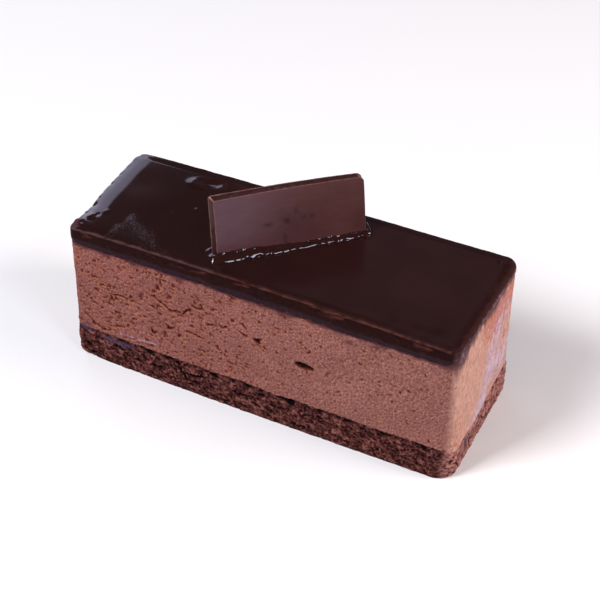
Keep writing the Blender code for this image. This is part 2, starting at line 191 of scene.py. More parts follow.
def start_cube(name: str, size: Sequence[float], centre: Sequence[float]) -> bpy.types.Object:
    """Adds a cube at its size and place, with both in its mesh, and enters edit mode.

    Args:
        name: the piece's name.
        size: its length along X, Y and Z.
        centre: where its middle lies.

    Returns:
        The new object.
    """
    deselect_all()
    bpy.ops.mesh.primitive_cube_add(size=1.0, location=centre, scale=size)
    bpy.ops.object.transform_apply(location=True, rotation=True, scale=True)
    piece = bpy.context.active_object
    piece.name = piece.data.name = name
    bpy.ops.object.mode_set(mode="EDIT")
    return piece


def choose(piece: bpy.types.Object, kind: Pick, test: Callable) -> None:
    """Selects exactly the parts of a mesh in edit mode that pass a test.

    Args:
        piece: the object being edited.
        kind: what is selected, the others being left alone.
        test: takes a bmesh edge or face, and says whether it is selected.
    """
    bpy.context.tool_settings.mesh_select_mode = tuple(i == kind.value for i in range(3))
    bpy.ops.mesh.select_all(action="DESELECT")
    mesh = bmesh.from_edit_mesh(piece.data)
    for part in mesh.edges if kind is Pick.EDGE else mesh.faces:
        if test(part):
            part.select_set(True)
    mesh.select_flush_mode()
    bmesh.update_edit_mesh(piece.data)


def divide(piece: bpy.types.Object, parts: int, test: Callable) -> None:
    """Cuts each chosen edge into equal parts, which cuts the faces between them into strips.

    Args:
        piece: the object being edited.
        parts: how many parts each edge gets.
        test: takes an edge, and says whether it is cut.
    """
    first = next(n for n in range(math.isqrt(parts), 0, -1) if parts % n == 0)
    for share in (first, parts // first):
        if share > 1:
            choose(piece, Pick.EDGE, test)
            bpy.ops.mesh.subdivide(number_cuts=share - 1)


def read_points(piece: bpy.types.Object) -> np.ndarray:
    """The rows of x, y, z of a mesh's points."""
    points = np.empty(len(piece.data.vertices) * 3)
    piece.data.vertices.foreach_get("co", points)
    return points.reshape(-1, 3)


def write_points(piece: bpy.types.Object, points: np.ndarray) -> None:
    """Moves a mesh's points to these places."""
    piece.data.vertices.foreach_set("co", np.ascontiguousarray(points).reshape(-1))
    piece.data.update()


def read_normals(piece: bpy.types.Object) -> np.ndarray:
    """The rows of x, y, z of a mesh's point normals."""
    normals = np.empty(len(piece.data.vertices) * 3)
    piece.data.vertex_normals.foreach_get("vector", normals)
    return normals.reshape(-1, 3)


def write_attribute(piece: bpy.types.Object, name: str, values: np.ndarray) -> None:
    """Keeps one number for each point, for the piece's material to read."""
    layer = piece.data.attributes.new(name, "FLOAT", "POINT")
    layer.data.foreach_set("value", values.astype(np.float32))


def finish_piece(piece: bpy.types.Object, solid: Solid, sharp: float) -> None:
    """Shades a piece, ties it to the frame and reports it.

    Args:
        piece: the finished object, at the origin.
        solid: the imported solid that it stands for.
        sharp: the angle in degrees past which an edge stays sharp.
    """
    deselect_all()
    piece.select_set(True)
    bpy.context.view_layer.objects.active = piece
    bpy.ops.object.shade_smooth_by_angle(angle=math.radians(sharp))
    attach(piece, BODY)
    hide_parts(solid.value)
    log.info("%s: %d faces, stands for %s", piece.name, len(piece.data.polygons), solid.value)


# ---------------------------------------------------------------- nodes of materials


# Settings of a Mix node that lays one colour over another, and of one that multiplies them
OVER = {"data_type": "RGBA", "blend_type": "MIX"}
TIMES = {"data_type": "RGBA", "blend_type": "MULTIPLY"}


def connect(node: bpy.types.Node, inputs: dict) -> None:
    """Sets a node's inputs.

    Args:
        node: the node.
        inputs: socket name or number to a value, an sRGB hex colour, or the socket or node that
            feeds it. Of a node, the first output in use is taken.
    """
    for name, value in inputs.items():
        if isinstance(value, bpy.types.Node):
            value = next(output for output in value.outputs if output.enabled)
        if isinstance(value, bpy.types.NodeSocket):
            node.id_data.links.new(value, node.inputs[name])
        else:
            node.inputs[name].default_value = linear(value) if isinstance(value, str) else value


def add_node(
    tree: bpy.types.NodeTree,
    kind: str,
    inputs: dict | None = None,
    stops: Sequence[tuple[float, str]] = (),
    **settings: object,
) -> bpy.types.Node:
    """Adds a node to a material.

    Args:
        tree: the material's tree.
        kind: the node's type, without its "ShaderNode" prefix.
        inputs: what its sockets get, as connect takes it.
        stops: on a colour ramp, each stop's place and sRGB hex colour.
        **settings: the node's own properties.

    Returns:
        The node.
    """
    node = tree.nodes.new("ShaderNode" + kind)
    for name, value in settings.items():
        setattr(node, name, value)
    connect(node, inputs or {})
    for i, (place, colour) in enumerate(stops):
        element = node.color_ramp.elements[i] if i < 2 else node.color_ramp.elements.new(place)
        element.position = place
        element.color = linear(colour)
    return node


def mottling(
    tree: bpy.types.NodeTree,
    place: object,
    spacing: float,
    strength: tuple[float, float],
    levels: tuple[float, float] = (0.3, 0.7),
    detail: float = 2.0,
    roughness: float = 0.5,
) -> bpy.types.Node:
    """Adds soft patches of chance, for a colour or a strength to follow.

    Args:
        tree: the material's tree.
        place: the node or socket of the coordinates.
        spacing: how far the patches lie apart.
        strength: the least and the greatest strength.
        levels: where in the noise, from 0 to 1, these two are reached.
        detail: how many times finer noise is laid over it.
        roughness: how strong each finer noise is.

    Returns:
        The node that gives the strength.
    """
    bumps = add_node(tree, "TexNoise", {"Vector": place, "Scale": 1.0 / spacing,
                                        "Detail": detail, "Roughness": roughness})
    return add_node(tree, "MapRange", {0: bumps, 1: levels[0], 2: levels[1],
                                       3: strength[0], 4: strength[1]})


def new_material(name: str) -> tuple[bpy.types.Material, bpy.types.NodeTree, bpy.types.Node]:
    """Makes a material that holds only its shader and output.

    Args:
        name: the material's name.

    Returns:
        The material, its tree and its Principled shader.
    """
    material = bpy.data.materials.new(name)
    material.use_nodes = True
    shader = material.node_tree.nodes["Principled BSDF"]
    return material, material.node_tree, shader


# ---------------------------------------------------------------- finishes


@dataclass(frozen=True)
class CutMousse:
    """Chocolate mousse, cut with a warm knife: matt, fine-grained, mauve-brown, open bubbles with
    painted shade.
    """

    light: str = "8a5650"
    body: str = "7b4a45"
    dark: str = "5d3029"
    # Painted shade: the colours of the walls and deep insides of pits and bubbles
    pit_wall_shade: str = "5f2a1e"
    hole_shade: str = "160605"
    # Partly the thin lip's own paler colour, partly a painted highlight where light from above left
    # falls
    lip: str = "a76c54"
    # Painted highlight and painted shade on the slopes of the torn grain
    lit_slope: str = "a5725f"
    shaded_slope: str = "63352c"
    pale: tuple = (1.07, 1.19, 1.16, 1.0)
    film: str = "42262c"
    # Painted highlight: the bluish-white glint of a bead of water along a tear
    painted_glint: str = "aba5b8"
    stain: str = "4c2425"
    dragged: str = "b48b7e"
    # Painted sheen: the lilac shine on the dragged end
    painted_lilac_sheen: str = "b3a3ba"
    dragged_spot: str = "a05a46"
    grain: float = 0.6 * MM
    bump: float = 0.22 * MM
    coarse: float = 2.1 * MM
    small: float = 1.05 * MM
    # How far up and to the left the grain is read again, for the painted highlights and shade
    light_shift: tuple[float, float, float] = (-0.2 * MM, -0.1 * MM, 0.2 * MM)

    def material(self) -> bpy.types.Material:
        """Builds the material. It reads the attributes of its mesh that marks names."""
        # Foam's cut cells scatter light: matt brown, painted shade in pits, painted highlights on
        # pale lips
        material, tree, shader = new_material("Cut_chocolate_mousse")
        place = add_node(tree, "TexCoord").outputs["Object"]
        marks = {name: add_node(tree, "Attribute", attribute_name=name).outputs["Fac"]
                 for name in ("lip", "drag", "stain", "pit", "film", "painted_glint", "lilac", "fleck")}
        # Just below a hollow shows its thin, pale lip, with a painted highlight as if lit from
        # above left
        lower = add_node(tree, "VectorMath", {0: place, 1: self.light_shift})
        grain, above = (add_node(tree, "TexNoise", {"Vector": at, "Scale": 1.0 / self.grain,
                                                    "Detail": 3.0, "Roughness": 0.6})
                        for at in (place, lower))
        holes, shifted = (self.bubbles(tree, at) for at in (place, lower))
        # Fat and air don't mix evenly, so the brown drifts a little over a few millimetres
        mottle = add_node(tree, "ValToRGB", {0: grain},
                          stops=[(0.30, self.dark), (0.64, self.light), (0.46, self.body)])
        cloud = mottling(tree, place, 7.0 * MM, (0.88, 1.06), (0.35, 0.65), 3.0)
        colour = add_node(tree, "Mix", {0: 1.0, 6: mottle, 7: cloud}, **TIMES)
        # The cut is smooth in places and torn more to the right; torn grain gets painted highlights
        # and shade
        along = add_node(tree, "SeparateXYZ", {0: place})
        more = add_node(tree, "MapRange", {0: along, 1: -20.0 * MM, 2: 15.0 * MM, 3: 0.5, 4: 0.56})
        patchy = mottling(tree, place, 2.6 * MM, (0.35, 1.2), (0.38, 0.6), 1.0)
        torn = add_node(tree, "Math", {0: more, 1: patchy}, operation="MULTIPLY")
        slope = add_node(tree, "Math", {0: grain, 1: above}, operation="SUBTRACT")
        for start, end, tint in ((0.03, 0.2, self.lit_slope), (-0.05, -0.2, self.shaded_slope)):
            side = add_node(tree, "MapRange", {0: slope, 1: start, 2: end})
            side = add_node(tree, "Math", {0: side, 1: torn}, operation="MULTIPLY")
            colour = add_node(tree, "Mix", {0: side, 6: colour, 7: tint}, **OVER)
        right = add_node(tree, "MapRange", {0: along, 1: -25.0 * MM, 2: 25.0 * MM})
        colour = add_node(tree, "Mix", {0: right, 6: colour, 7: self.pale}, **TIMES)
        colour = add_node(tree, "Mix", {0: marks["stain"], 6: colour, 7: self.stain}, **OVER)
        colour = self.drag(tree, place, marks, colour)
        # The dragged end is smeared shut, so it has few open bubbles; lips below bubbles get
        # painted highlight
        rim = add_node(tree, "Math", {0: shifted, 1: holes}, operation="SUBTRACT", use_clamp=True)
        lip_highlight = add_node(tree, "Math", {0: rim, 1: marks["lip"]}, operation="MAXIMUM")
        unsmeared = add_node(tree, "MapRange", {0: marks["drag"], 1: 0.2, 2: 0.8, 3: 1.0, 4: 0.1})
        holes, lip_highlight = (add_node(tree, "Math", {0: share, 1: unsmeared}, operation="MULTIPLY")
                       for share in (holes, lip_highlight))
        # Painted shade in the pits, their deep insides and the bubbles, and painted highlight on
        # the lips
        wall = add_node(tree, "MapRange", {0: marks["pit"], 2: 0.55})
        core_shade = add_node(tree, "MapRange", {0: marks["pit"], 1: 0.68})
        for share, tint in ((lip_highlight, self.lip), (wall, self.pit_wall_shade), (core_shade, self.hole_shade),
                            (holes, self.pit_wall_shade), (marks["film"], self.film),
                            (marks["painted_glint"], self.painted_glint)):
            colour = add_node(tree, "Mix", {0: share, 6: colour, 7: tint}, **OVER)
        height = add_node(tree, "Math", {0: holes, 1: -1.2, 2: grain}, operation="MULTIPLY_ADD")
        relief = add_node(tree, "Bump", {"Strength": 0.9, "Distance": self.bump, "Height": height})
        connect(shader, {"Base Color": colour, "Normal": relief, "Roughness": 0.65,
                         "Specular IOR Level": 0.04})
        return material

    def bubbles(self, tree: bpy.types.NodeTree, place: object) -> bpy.types.Node:
        """Scatters the finest bubbles, in two sizes. They lie flat and thin out to the right.

        Args:
            tree: the material's tree.
            place: the node or socket of the coordinates that they are laid out in.

        Returns:
            The node that is near 1 inside a bubble.
        """
        along = add_node(tree, "SeparateXYZ", {0: place})
        share = add_node(tree, "MapRange", {0: along, 1: -30.0 * MM, 2: 20.0 * MM,
                                            3: -0.3, 4: -0.72})
        holes = []
        for spacing in (self.coarse, self.small):
            wobble = add_node(tree, "TexNoise", {"Vector": place, "Scale": 1.6 / spacing,
                                                 "Detail": 1.0})
            bent = add_node(tree, "VectorMath", {0: wobble.outputs["Color"],
                                                 1: (spacing * 0.55,) * 3, 2: place},
                            operation="MULTIPLY_ADD")
            flat = add_node(tree, "Mapping", {"Vector": bent, "Scale": (0.75, 0.75, 1.5)})
            cell = add_node(tree, "TexVoronoi", {"Vector": flat, "Scale": 1.0 / spacing})
            chance = add_node(tree, "SeparateColor", {0: cell.outputs["Color"]})
            radius = add_node(tree, "Math", {0: chance, 1: share}, operation="ADD")
            inside = add_node(tree, "Math", {0: radius, 1: 0.4}, operation="MULTIPLY")
            depth = add_node(tree, "Math", {0: inside, 1: cell.outputs["Distance"]},
                             operation="SUBTRACT")
            holes.append(add_node(tree, "MapRange", {0: depth, 2: 0.06, 4: 0.85}))
        return add_node(tree, "Math", dict(enumerate(holes)), operation="MAXIMUM")

    def drag(self, tree: bpy.types.NodeTree, place: object, marks: dict,
             colour: object) -> bpy.types.Node:
        """Lays the paler, streaked colour of the dragged end over the mousse, with a painted lilac
        sheen.

        Args:
            tree: the material's tree.
            place: the socket of the object coordinates.
            marks: the sockets of the mesh's attributes, by name.
            colour: the node of the plain mousse's colour.

        Returns:
            The node of the colour with the dragged end.
        """
        # Painted sheen: lilac where the light shines off the dragged end
        pale = add_node(tree, "Mix", {0: marks["lilac"], 6: self.dragged, 7: self.painted_lilac_sheen},
                        **OVER)
        # The blade left fine streaks, and drew cocoa flecks and torn bubbles out downwards
        long, tall = (add_node(tree, "Mapping", {"Vector": place, "Scale": (1.0, 1.0, squeeze)})
                      for squeeze in (0.22, 0.5))
        blotches = mottling(tree, place, 1.6 * MM, (0.84, 1.12), detail=3.0, roughness=0.6)
        streaks = mottling(tree, long, 0.6 * MM, (0.86, 1.12))
        for strength in (blotches, streaks):
            pale = add_node(tree, "Mix", {0: 1.0, 6: pale, 7: strength}, **TIMES)
        fleck = add_node(tree, "TexNoise", {"Vector": tall, "Scale": 1.0 / (0.6 * MM)})
        level = add_node(tree, "Math", {0: marks["fleck"], 1: 0.2, 2: fleck},
                         operation="MULTIPLY_ADD")
        spots = add_node(tree, "MapRange", {0: level, 1: 0.56, 2: 0.72, 4: 0.75})
        pale = add_node(tree, "Mix", {0: spots, 6: pale, 7: self.dragged_spot}, **OVER)
        return add_node(tree, "Mix", {0: marks["drag"], 6: colour, 7: pale}, **OVER)


@dataclass(frozen=True)
class CocoaSponge:
    """Baked cocoa sponge: an open, dry crumb, with painted shade near black in its holes."""

    # Partly the crumb's own tone, partly painted light on raised crumbs
    lit_crumb: str = "8a544c"
    body: str = "522c29"
    shade: str = "290f0e"
    # Painted shade: near black in pores and tears, in gaps and under the seam
    hole_shade: str = "080303"
    dragged: str = "b87f78"
    film: str = "4a3b4e"
    grain: float = 0.5 * MM
    bump: float = 0.3 * MM

    def material(self) -> bpy.types.Material:
        """Builds the material. It reads the attributes of its mesh that marks names."""
        # A dry torn crumb has no gloss: crumbs painted lighter where raised, holes painted near
        # black as shade
        material, tree, shader = new_material("Baked_cocoa_sponge")
        place = add_node(tree, "TexCoord").outputs["Object"]
        marks = {name: add_node(tree, "Attribute", attribute_name=name).outputs["Fac"]
                 for name in ("crumb", "drag", "film", "pore")}
        grain = add_node(tree, "TexNoise", {"Vector": place, "Scale": 1.0 / self.grain,
                                            "Detail": 5.0, "Roughness": 0.68})
        level = add_node(tree, "Math", {0: grain, 1: marks["crumb"]}, operation="ADD")
        colour = add_node(tree, "ValToRGB", {0: level},
                          stops=[(0.34, self.shade), (0.72, self.lit_crumb), (0.52, self.body)])
        for name, tint in (("drag", self.dragged), ("film", self.film), ("pore", self.hole_shade)):
            colour = add_node(tree, "Mix", {0: marks[name], 6: colour, 7: tint}, **OVER)
        relief = add_node(tree, "Bump", {"Strength": 0.8, "Distance": self.bump, "Height": grain})
        connect(shader, {"Base Color": colour, "Normal": relief, "Roughness": 0.85,
                         "Specular IOR Level": 0.05})
        return material


@dataclass(frozen=True)
class MirrorGlaze:
    """Poured cocoa glaze set with gelatine: near black, glossy, a little frosted in one patch."""

    body: str = "200d0b"
    edge: str = "48221c"
    frost: str = "5f4f50"
    roughness: tuple[float, float] = (0.09, 0.2)
    frost_grain: float = 0.36 * MM
    frost_bump: float = 0.07 * MM

    def material(self) -> bpy.types.Material:
        """Builds the material. It reads the attributes thin and frost of its mesh."""
        # It flowed level and set wet, so it mirrors the lights and is dark between them
        material, tree, shader = new_material("Poured_cocoa_glaze")
        place = add_node(tree, "TexCoord").outputs["Object"]
        thin, frost = (add_node(tree, "Attribute", attribute_name=name).outputs["Fac"]
                       for name in ("thin", "frost"))
        cloud = mottling(tree, place, 14.0 * MM, (0.85, 1.15), (0.35, 0.65))
        colour = add_node(tree, "Mix", {0: 1.0, 6: self.body, 7: cloud}, **TIMES)
        # Where the film thins out at the cut, light gets through and it turns red-brown
        colour = add_node(tree, "Mix", {0: thin, 6: colour, 7: self.edge}, **OVER)
        dots = add_node(tree, "TexNoise", {"Vector": place, "Scale": 1.0 / self.frost_grain})
        dotted = add_node(tree, "MapRange", {0: dots, 1: 0.54, 2: 0.68, 3: 0.02})
        misted = add_node(tree, "Math", {0: dotted, 1: frost}, operation="MULTIPLY")
        colour = add_node(tree, "Mix", {0: misted, 6: colour, 7: self.frost}, **OVER)
        matt = add_node(tree, "Math", {0: misted, 1: 0.11}, operation="MULTIPLY")
        rough = add_node(tree, "Math", {0: matt, 1: thin}, operation="MAXIMUM")
        # It is a clear mirror at its left, and duller towards the right
        along = add_node(tree, "SeparateXYZ", {0: place})
        gloss = add_node(tree, "MapRange", {0: along, 1: -22.0 * MM, 2: 6.0 * MM,
                                            3: self.roughness[0], 4: self.roughness[1]})
        dull = add_node(tree, "MapRange", {0: rough, 2: 0.7, 3: gloss, 4: 0.6})
        relief = add_node(tree, "Bump", {"Strength": frost, "Distance": self.frost_bump,
                                         "Height": dots})
        connect(shader, {"Base Color": colour, "Roughness": dull, "Normal": relief, "IOR": 1.42})
        return material


@dataclass(frozen=True)
class CutGlaze:
    """The glaze where a knife went through: dull, red-brown above, a painted slate-violet floor
    reflection below.
    """

    upper: str = "1f0a09"
    # Painted reflection: the floor seen in the lower part of the cut
    lower: str = "28161d"
    smeared: str = "4a3038"
    torn: str = "7c5c62"
    spot: str = "6b3a2e"
    grain: float = 1.1 * MM
    bump: float = 0.08 * MM

    def material(self) -> bpy.types.Material:
        """Builds the material. It reads the attributes band and drag of its mesh."""
        # The blade smeared its section into soft bands with no mirror; the lower is a painted floor
        # reflection
        material, tree, shader = new_material("Cut_cocoa_glaze")
        place = add_node(tree, "TexCoord").outputs["Object"]
        band, drag = (add_node(tree, "Attribute", attribute_name=name).outputs["Fac"]
                      for name in ("band", "drag"))
        wave, patch = (add_node(tree, "TexNoise", {"Vector": place, "Scale": 1.0 / spacing})
                       for spacing in (5.0 * MM, 2.2 * MM))
        line = add_node(tree, "Math", {0: wave, 1: 0.35, 2: band}, operation="MULTIPLY_ADD")
        share = add_node(tree, "MapRange", {0: line, 1: 0.50, 2: 0.62})
        colour = add_node(tree, "Mix", {0: share, 6: self.lower, 7: self.upper}, **OVER)
        # At the very bottom the mousse shows through in red-brown patches
        low = add_node(tree, "Math", {0: band, 1: -2.2, 2: patch}, operation="MULTIPLY_ADD")
        through = add_node(tree, "MapRange", {0: low, 1: 0.38, 2: 0.6, 4: 0.7})
        # Just under the top edge the knife tore the film, and light comes through in dashes
        level = add_node(tree, "Mapping", {"Vector": place, "Scale": (0.3, 1.0, 1.0)})
        dashes = mottling(tree, level, 1.6 * MM, (0.0, 1.0), (0.58, 0.7))
        high = add_node(tree, "MapRange", {0: band, 1: 0.62, 2: 0.85, 4: 0.4})
        lit = add_node(tree, "Math", {0: high, 1: dashes}, operation="MULTIPLY")
        for share in (through, lit):
            colour = add_node(tree, "Mix", {0: share, 6: colour, 7: self.spot}, **OVER)
        grain = add_node(tree, "TexNoise", {"Vector": place, "Scale": 1.0 / self.grain,
                                            "Detail": 3.0})
        cloud = add_node(tree, "MapRange", {0: grain, 1: 0.3, 2: 0.7, 3: 0.75, 4: 1.25})
        colour = add_node(tree, "Mix", {0: 1.0, 6: colour, 7: cloud}, **TIMES)
        torn = add_node(tree, "MapRange", {0: grain, 1: 0.5, 2: 0.62})
        smear = add_node(tree, "Mix", {0: torn, 6: self.smeared, 7: self.torn}, **OVER)
        colour = add_node(tree, "Mix", {0: drag, 6: colour, 7: smear}, **OVER)
        relief = add_node(tree, "Bump", {"Strength": 0.4, "Distance": self.bump, "Height": grain})
        connect(shader, {"Base Color": colour, "Normal": relief, "Roughness": 0.5,
                         "Specular IOR Level": 0.03})
        return material


@dataclass(frozen=True)
class SetChocolate:
    """Plain chocolate that set while it was wet: dark, smooth and very shiny."""

    body: str = "220d0b"
    roughness: float = 0.07

    def material(self) -> bpy.types.Material:
        """Builds the material."""
        # Nothing touched it as it set, so it sparkles: small sharp glints on near black
        material, tree, shader = new_material("Set_chocolate_bead")
        place = add_node(tree, "TexCoord").outputs["Object"]
        cloud = mottling(tree, place, 1.5 * MM, (0.8, 1.25))
        colour = add_node(tree, "Mix", {0: 1.0, 6: self.body, 7: cloud}, **TIMES)
        connect(shader, {"Base Color": colour, "Roughness": self.roughness, "IOR": 1.55})
        return material


@dataclass(frozen=True)
class TemperedChocolate:
    """Tempered milk-dark chocolate, moulded thin: satin, with paler rubbed edges, a painted sheen
    and painted shade in grooves.
    """

    body: str = "4b2b2b"
    rim: str = "784a45"
    # Painted shade in the grooves along the top and sides
    core_shade: str = "27110d"
    # Painted sheen on the front face's upper left
    painted_sheen: str = "523840"
    scuff: str = "210e0e"
    turn: float = math.radians(41.7)
    bump: float = 0.02 * MM

    def material(self) -> bpy.types.Material:
        """Builds the material. It reads four attributes of its mesh: rims, groove shade, painted
        sheen and scuffs.
        """
        # Even cocoa butter crystals give a soft satin sheen, pale where rubbed; the bright upper
        # left is painted sheen
        material, tree, shader = new_material("Tempered_chocolate_plaque")
        place = add_node(tree, "TexCoord").outputs["Object"]
        marks = {name: add_node(tree, "Attribute", attribute_name=name).outputs["Fac"]
                 for name in ("painted_sheen", "core_shade", "rim", "scuff")}
        cloud, satin = (mottling(tree, place, 6.0 * MM, strength, detail=3.0)
                        for strength in ((0.88, 1.12), (0.3, 0.42)))
        colour = add_node(tree, "Mix", {0: 1.0, 6: self.body, 7: cloud}, **TIMES)
        for name, tint in (("painted_sheen", self.painted_sheen), ("core_shade", self.core_shade), ("rim", self.rim)):
            colour = add_node(tree, "Mix", {0: marks[name], 6: colour, 7: tint}, **OVER)
        # It came off its sheet with fine level marks, and was scuffed in the middle
        level = add_node(tree, "Mapping", {"Vector": place, "Rotation": (0.0, 0.0, -self.turn)})
        drawn = add_node(tree, "Mapping", {"Vector": level, "Scale": (0.2, 1.0, 1.0)})
        lines = mottling(tree, drawn, 0.8 * MM, (0.94, 1.06))
        colour = add_node(tree, "Mix", {0: 1.0, 6: colour, 7: lines}, **TIMES)
        colour = add_node(tree, "Mix", {0: marks["scuff"], 6: colour, 7: self.scuff}, **OVER)
        fine = add_node(tree, "TexNoise", {"Vector": place, "Scale": 1.0 / (0.7 * MM)})
        relief = add_node(tree, "Bump", {"Strength": 0.25, "Distance": self.bump, "Height": fine})
        connect(shader, {"Base Color": colour, "Roughness": satin, "Normal": relief,
                         "Specular IOR Level": 0.22})
        return material


@dataclass(frozen=True)
class StudioPaper:
    """The plain pale paper that the cake stands on."""

    tone: float = 0.84

    def material(self) -> bpy.types.Material:
        """Builds the material."""
        # Uncoated paper has no gloss, so it only shows the cake's soft shadow
        material, _, shader = new_material("Studio_paper")
        connect(shader, {"Base Color": (self.tone, self.tone, self.tone, 1.0),
                         "Roughness": 0.9, "Specular IOR Level": 0.1})
        return material


# ---------------------------------------------------------------- plan of the bar


@dataclass(frozen=True)
class BarPlan:
    """The outline and the seams that the solids follow. Pairs give a size at foot and glaze."""

    length: float = 100.0 * MM
    width: float = 36.0 * MM
    height: float = 40.0 * MM
    sponge_height: float = 9.7 * MM
    glaze_foot: float = 35.7 * MM
    front_at_left: tuple[float, float] = (17.4 * MM, 17.3 * MM)
    front_at_right: tuple[float, float] = (18.9 * MM, 18.3 * MM)
    back_at_left: tuple[float, float] = (17.2 * MM, 16.7 * MM)
    back_at_right: tuple[float, float] = (18.3 * MM, 19.0 * MM)
    front_bow: float = 0.35 * MM
    left_end: tuple[float, float] = (50.8 * MM, 50.6 * MM)
    left_bow: float = 0.5 * MM
    right_end: tuple[float, float] = (50.2 * MM, 50.5 * MM)
    right_skew: float = 0.4 * MM
    corner_zone: float = 4.8 * MM
    front_left_radius: tuple[float, float] = (2.2 * MM, 1.5 * MM)
    back_left_radius: tuple[float, float] = (2.4 * MM, 2.6 * MM)
    back_right_radius: tuple[float, float] = (3.0 * MM, 3.4 * MM)
    front_right_radius: tuple[float, float] = (4.4 * MM, 1.5 * MM)
    seam_depth: float = 3.0 * MM
    sponge_wave: float = 0.35 * MM
    sponge_end_rise: float = 0.2 * MM
    glaze_wave: float = 0.4 * MM
    wave_spacing: float = 9.0 * MM
    end_rise_reach: float = 9.0 * MM
    smear_reach: float = 2.6 * MM
    smear_across: tuple = ((-18.0, 1.4), (-13.0, 2.5), (-10.0, 1.9), (-3.0, 2.4), (1.0, 2.0),
                           (4.5, 1.0), (8.5, 0.0), (18.0, -0.6))
    glaze_lift: float = 2.4 * MM
    drip_place: float = -14.5 * MM
    drip_half_width: float = 3.6 * MM
    drip_strength: float = 1.15
    crown: float = 0.7 * MM
    crown_at_back: float = 0.5
    bevel_length: float = 4.0 * MM
    bevel_slope: float = 0.13
    bevel_soft: float = 1.4 * MM
    roll_radius: float = 0.7 * MM
    roll_across: tuple = ((-18.0, 0.35), (-16.0, 0.2), (-14.0, 0.15), (-12.0, 0.9), (-9.5, 1.6),
                          (-6.5, 2.0), (-3.0, 1.25), (0.0, 1.0), (13.0, 0.9), (17.0, 0.5))
    glaze_overhang: float = 0.35 * MM
    edge_drop: float = 0.28 * MM
    edge_reach: float = 2.8 * MM
    foot_inset: float = 0.45 * MM
    left_foot_inset: float = 1.1 * MM
    foot_height: float = 2.4 * MM

    def edge_distance(self, x: np.ndarray, y: np.ndarray) -> np.ndarray:
        """How far a point of the straight bar lies inside its outline."""
        return np.minimum(self.length / 2 - np.abs(x), self.width / 2 - np.abs(y))

    def near_wall(self, x: np.ndarray, y: np.ndarray) -> np.ndarray:
        """1 at the outline, fading to 0 where the seams are level."""
        return 1.0 - ease(self.edge_distance(x, y) / self.seam_depth)

    def end_smear(self, x: np.ndarray) -> np.ndarray:
        """1 at the right end, fading out where the knife didn't drag the layers."""
        return np.maximum(0.0, 1.0 - (self.length / 2 - x) / self.smear_reach) ** 2

    def sponge_roof(self, x: np.ndarray, y: np.ndarray) -> np.ndarray:
        """Height of the seam between the sponge and the mousse."""
        flat = rows(x, y)
        wave = self.sponge_wave * ripple(flat, self.wave_spacing)
        reach = (self.length / 2 - np.abs(x)) / self.end_rise_reach
        end_rise = self.sponge_end_rise * ease(1.0 - reach)
        smear = np.interp(y / MM, *zip(*self.smear_across)) * MM * self.end_smear(x)
        return self.sponge_height + self.near_wall(x, y) * (wave + end_rise) - smear

    def glaze_floor(self, x: np.ndarray, y: np.ndarray) -> np.ndarray:
        """Height of the seam between the mousse and the glaze."""
        flat = rows(x, y, self.height)
        wave = self.glaze_wave * ripple(flat, self.wave_spacing)
        drip = hump((y - self.drip_place) / self.drip_half_width)
        lift = self.glaze_lift * self.end_smear(x) * (1.0 - self.drip_strength * drip)
        return self.glaze_foot + self.near_wall(x, y) * wave + lift

    def glaze_roof(self, x: np.ndarray, y: np.ndarray) -> np.ndarray:
        """Height of the glaze, crowned along its middle and rolled over at the left end."""
        along = 1.0 - (2.0 * x / self.length) ** 2
        across = mix(1.0, self.crown_at_back, y / self.width + 0.5)
        left = x + self.length / 2
        before = np.clip(self.bevel_length - left, -self.bevel_soft, self.bevel_soft)
        ramp = (before + self.bevel_soft) ** 2 / (4.0 * self.bevel_soft)
        ramp = ramp + np.maximum(self.bevel_length - left - self.bevel_soft, 0.0)
        turn = 1.0 - np.clip(left / self.roll_radius, 0.0, 1.0)
        roll = self.roll_radius * (1.0 - np.sqrt(1.0 - turn ** 2))
        drop = (self.bevel_slope * ramp + roll) * np.interp(y / MM, *zip(*self.roll_across))
        rim = self.edge_drop * (1.0 - ease(self.edge_distance(x, y) / self.edge_reach))
        return self.height + self.crown * along * across - drop - rim

    def round_corners(self, x: np.ndarray, y: np.ndarray, height: np.ndarray) -> tuple:
        """Gives the straight bar's corners the radius that they have at this height.

        Args:
            x: places along the bar.
            y: places across it.
            height: heights above the foot.

        Returns:
            The new places along and across.
        """
        up = height / self.height
        across = np.abs(x) - (self.length / 2 - self.corner_zone)
        deep = np.abs(y) - (self.width / 2 - self.corner_zone)
        left = np.where(y < 0, mix(*self.front_left_radius, up), mix(*self.back_left_radius, up))
        right = np.where(y < 0, mix(*self.front_right_radius, up), mix(*self.back_right_radius, up))
        radius = np.where(x < 0, left, right)
        inside = (across > 0.0) & (deep > 0.0)
        angle = np.arctan2(np.maximum(deep, 0.0), np.maximum(across, 1e-9))
        cos, sin = np.cos(angle), np.sin(angle)
        straight = self.corner_zone / np.maximum(cos, sin)
        run = self.corner_zone - radius
        chord = run * (cos + sin)
        root = np.sqrt(np.maximum(chord * chord - 2.0 * run * run + radius * radius, 0.0))
        reach = np.where(np.minimum(cos, sin) * straight <= run, straight, chord + root)
        scale = np.where(inside, reach / straight, 1.0)
        zone_x, zone_y = self.length / 2 - self.corner_zone, self.width / 2 - self.corner_zone
        new_x = np.where(inside, np.sign(x) * (zone_x + across * scale), x)
        new_y = np.where(inside, np.sign(y) * (zone_y + deep * scale), y)
        return new_x, new_y

    def front_line(self, x: np.ndarray, height: np.ndarray) -> np.ndarray:
        """Y of the cut front at this place along the bar."""
        along, up = x / self.length + 0.5, height / self.height
        flat = mix(mix(*self.front_at_left, up), mix(*self.front_at_right, up), along)
        return -flat - self.front_bow * np.sin(math.pi * along) * (1.0 - up)

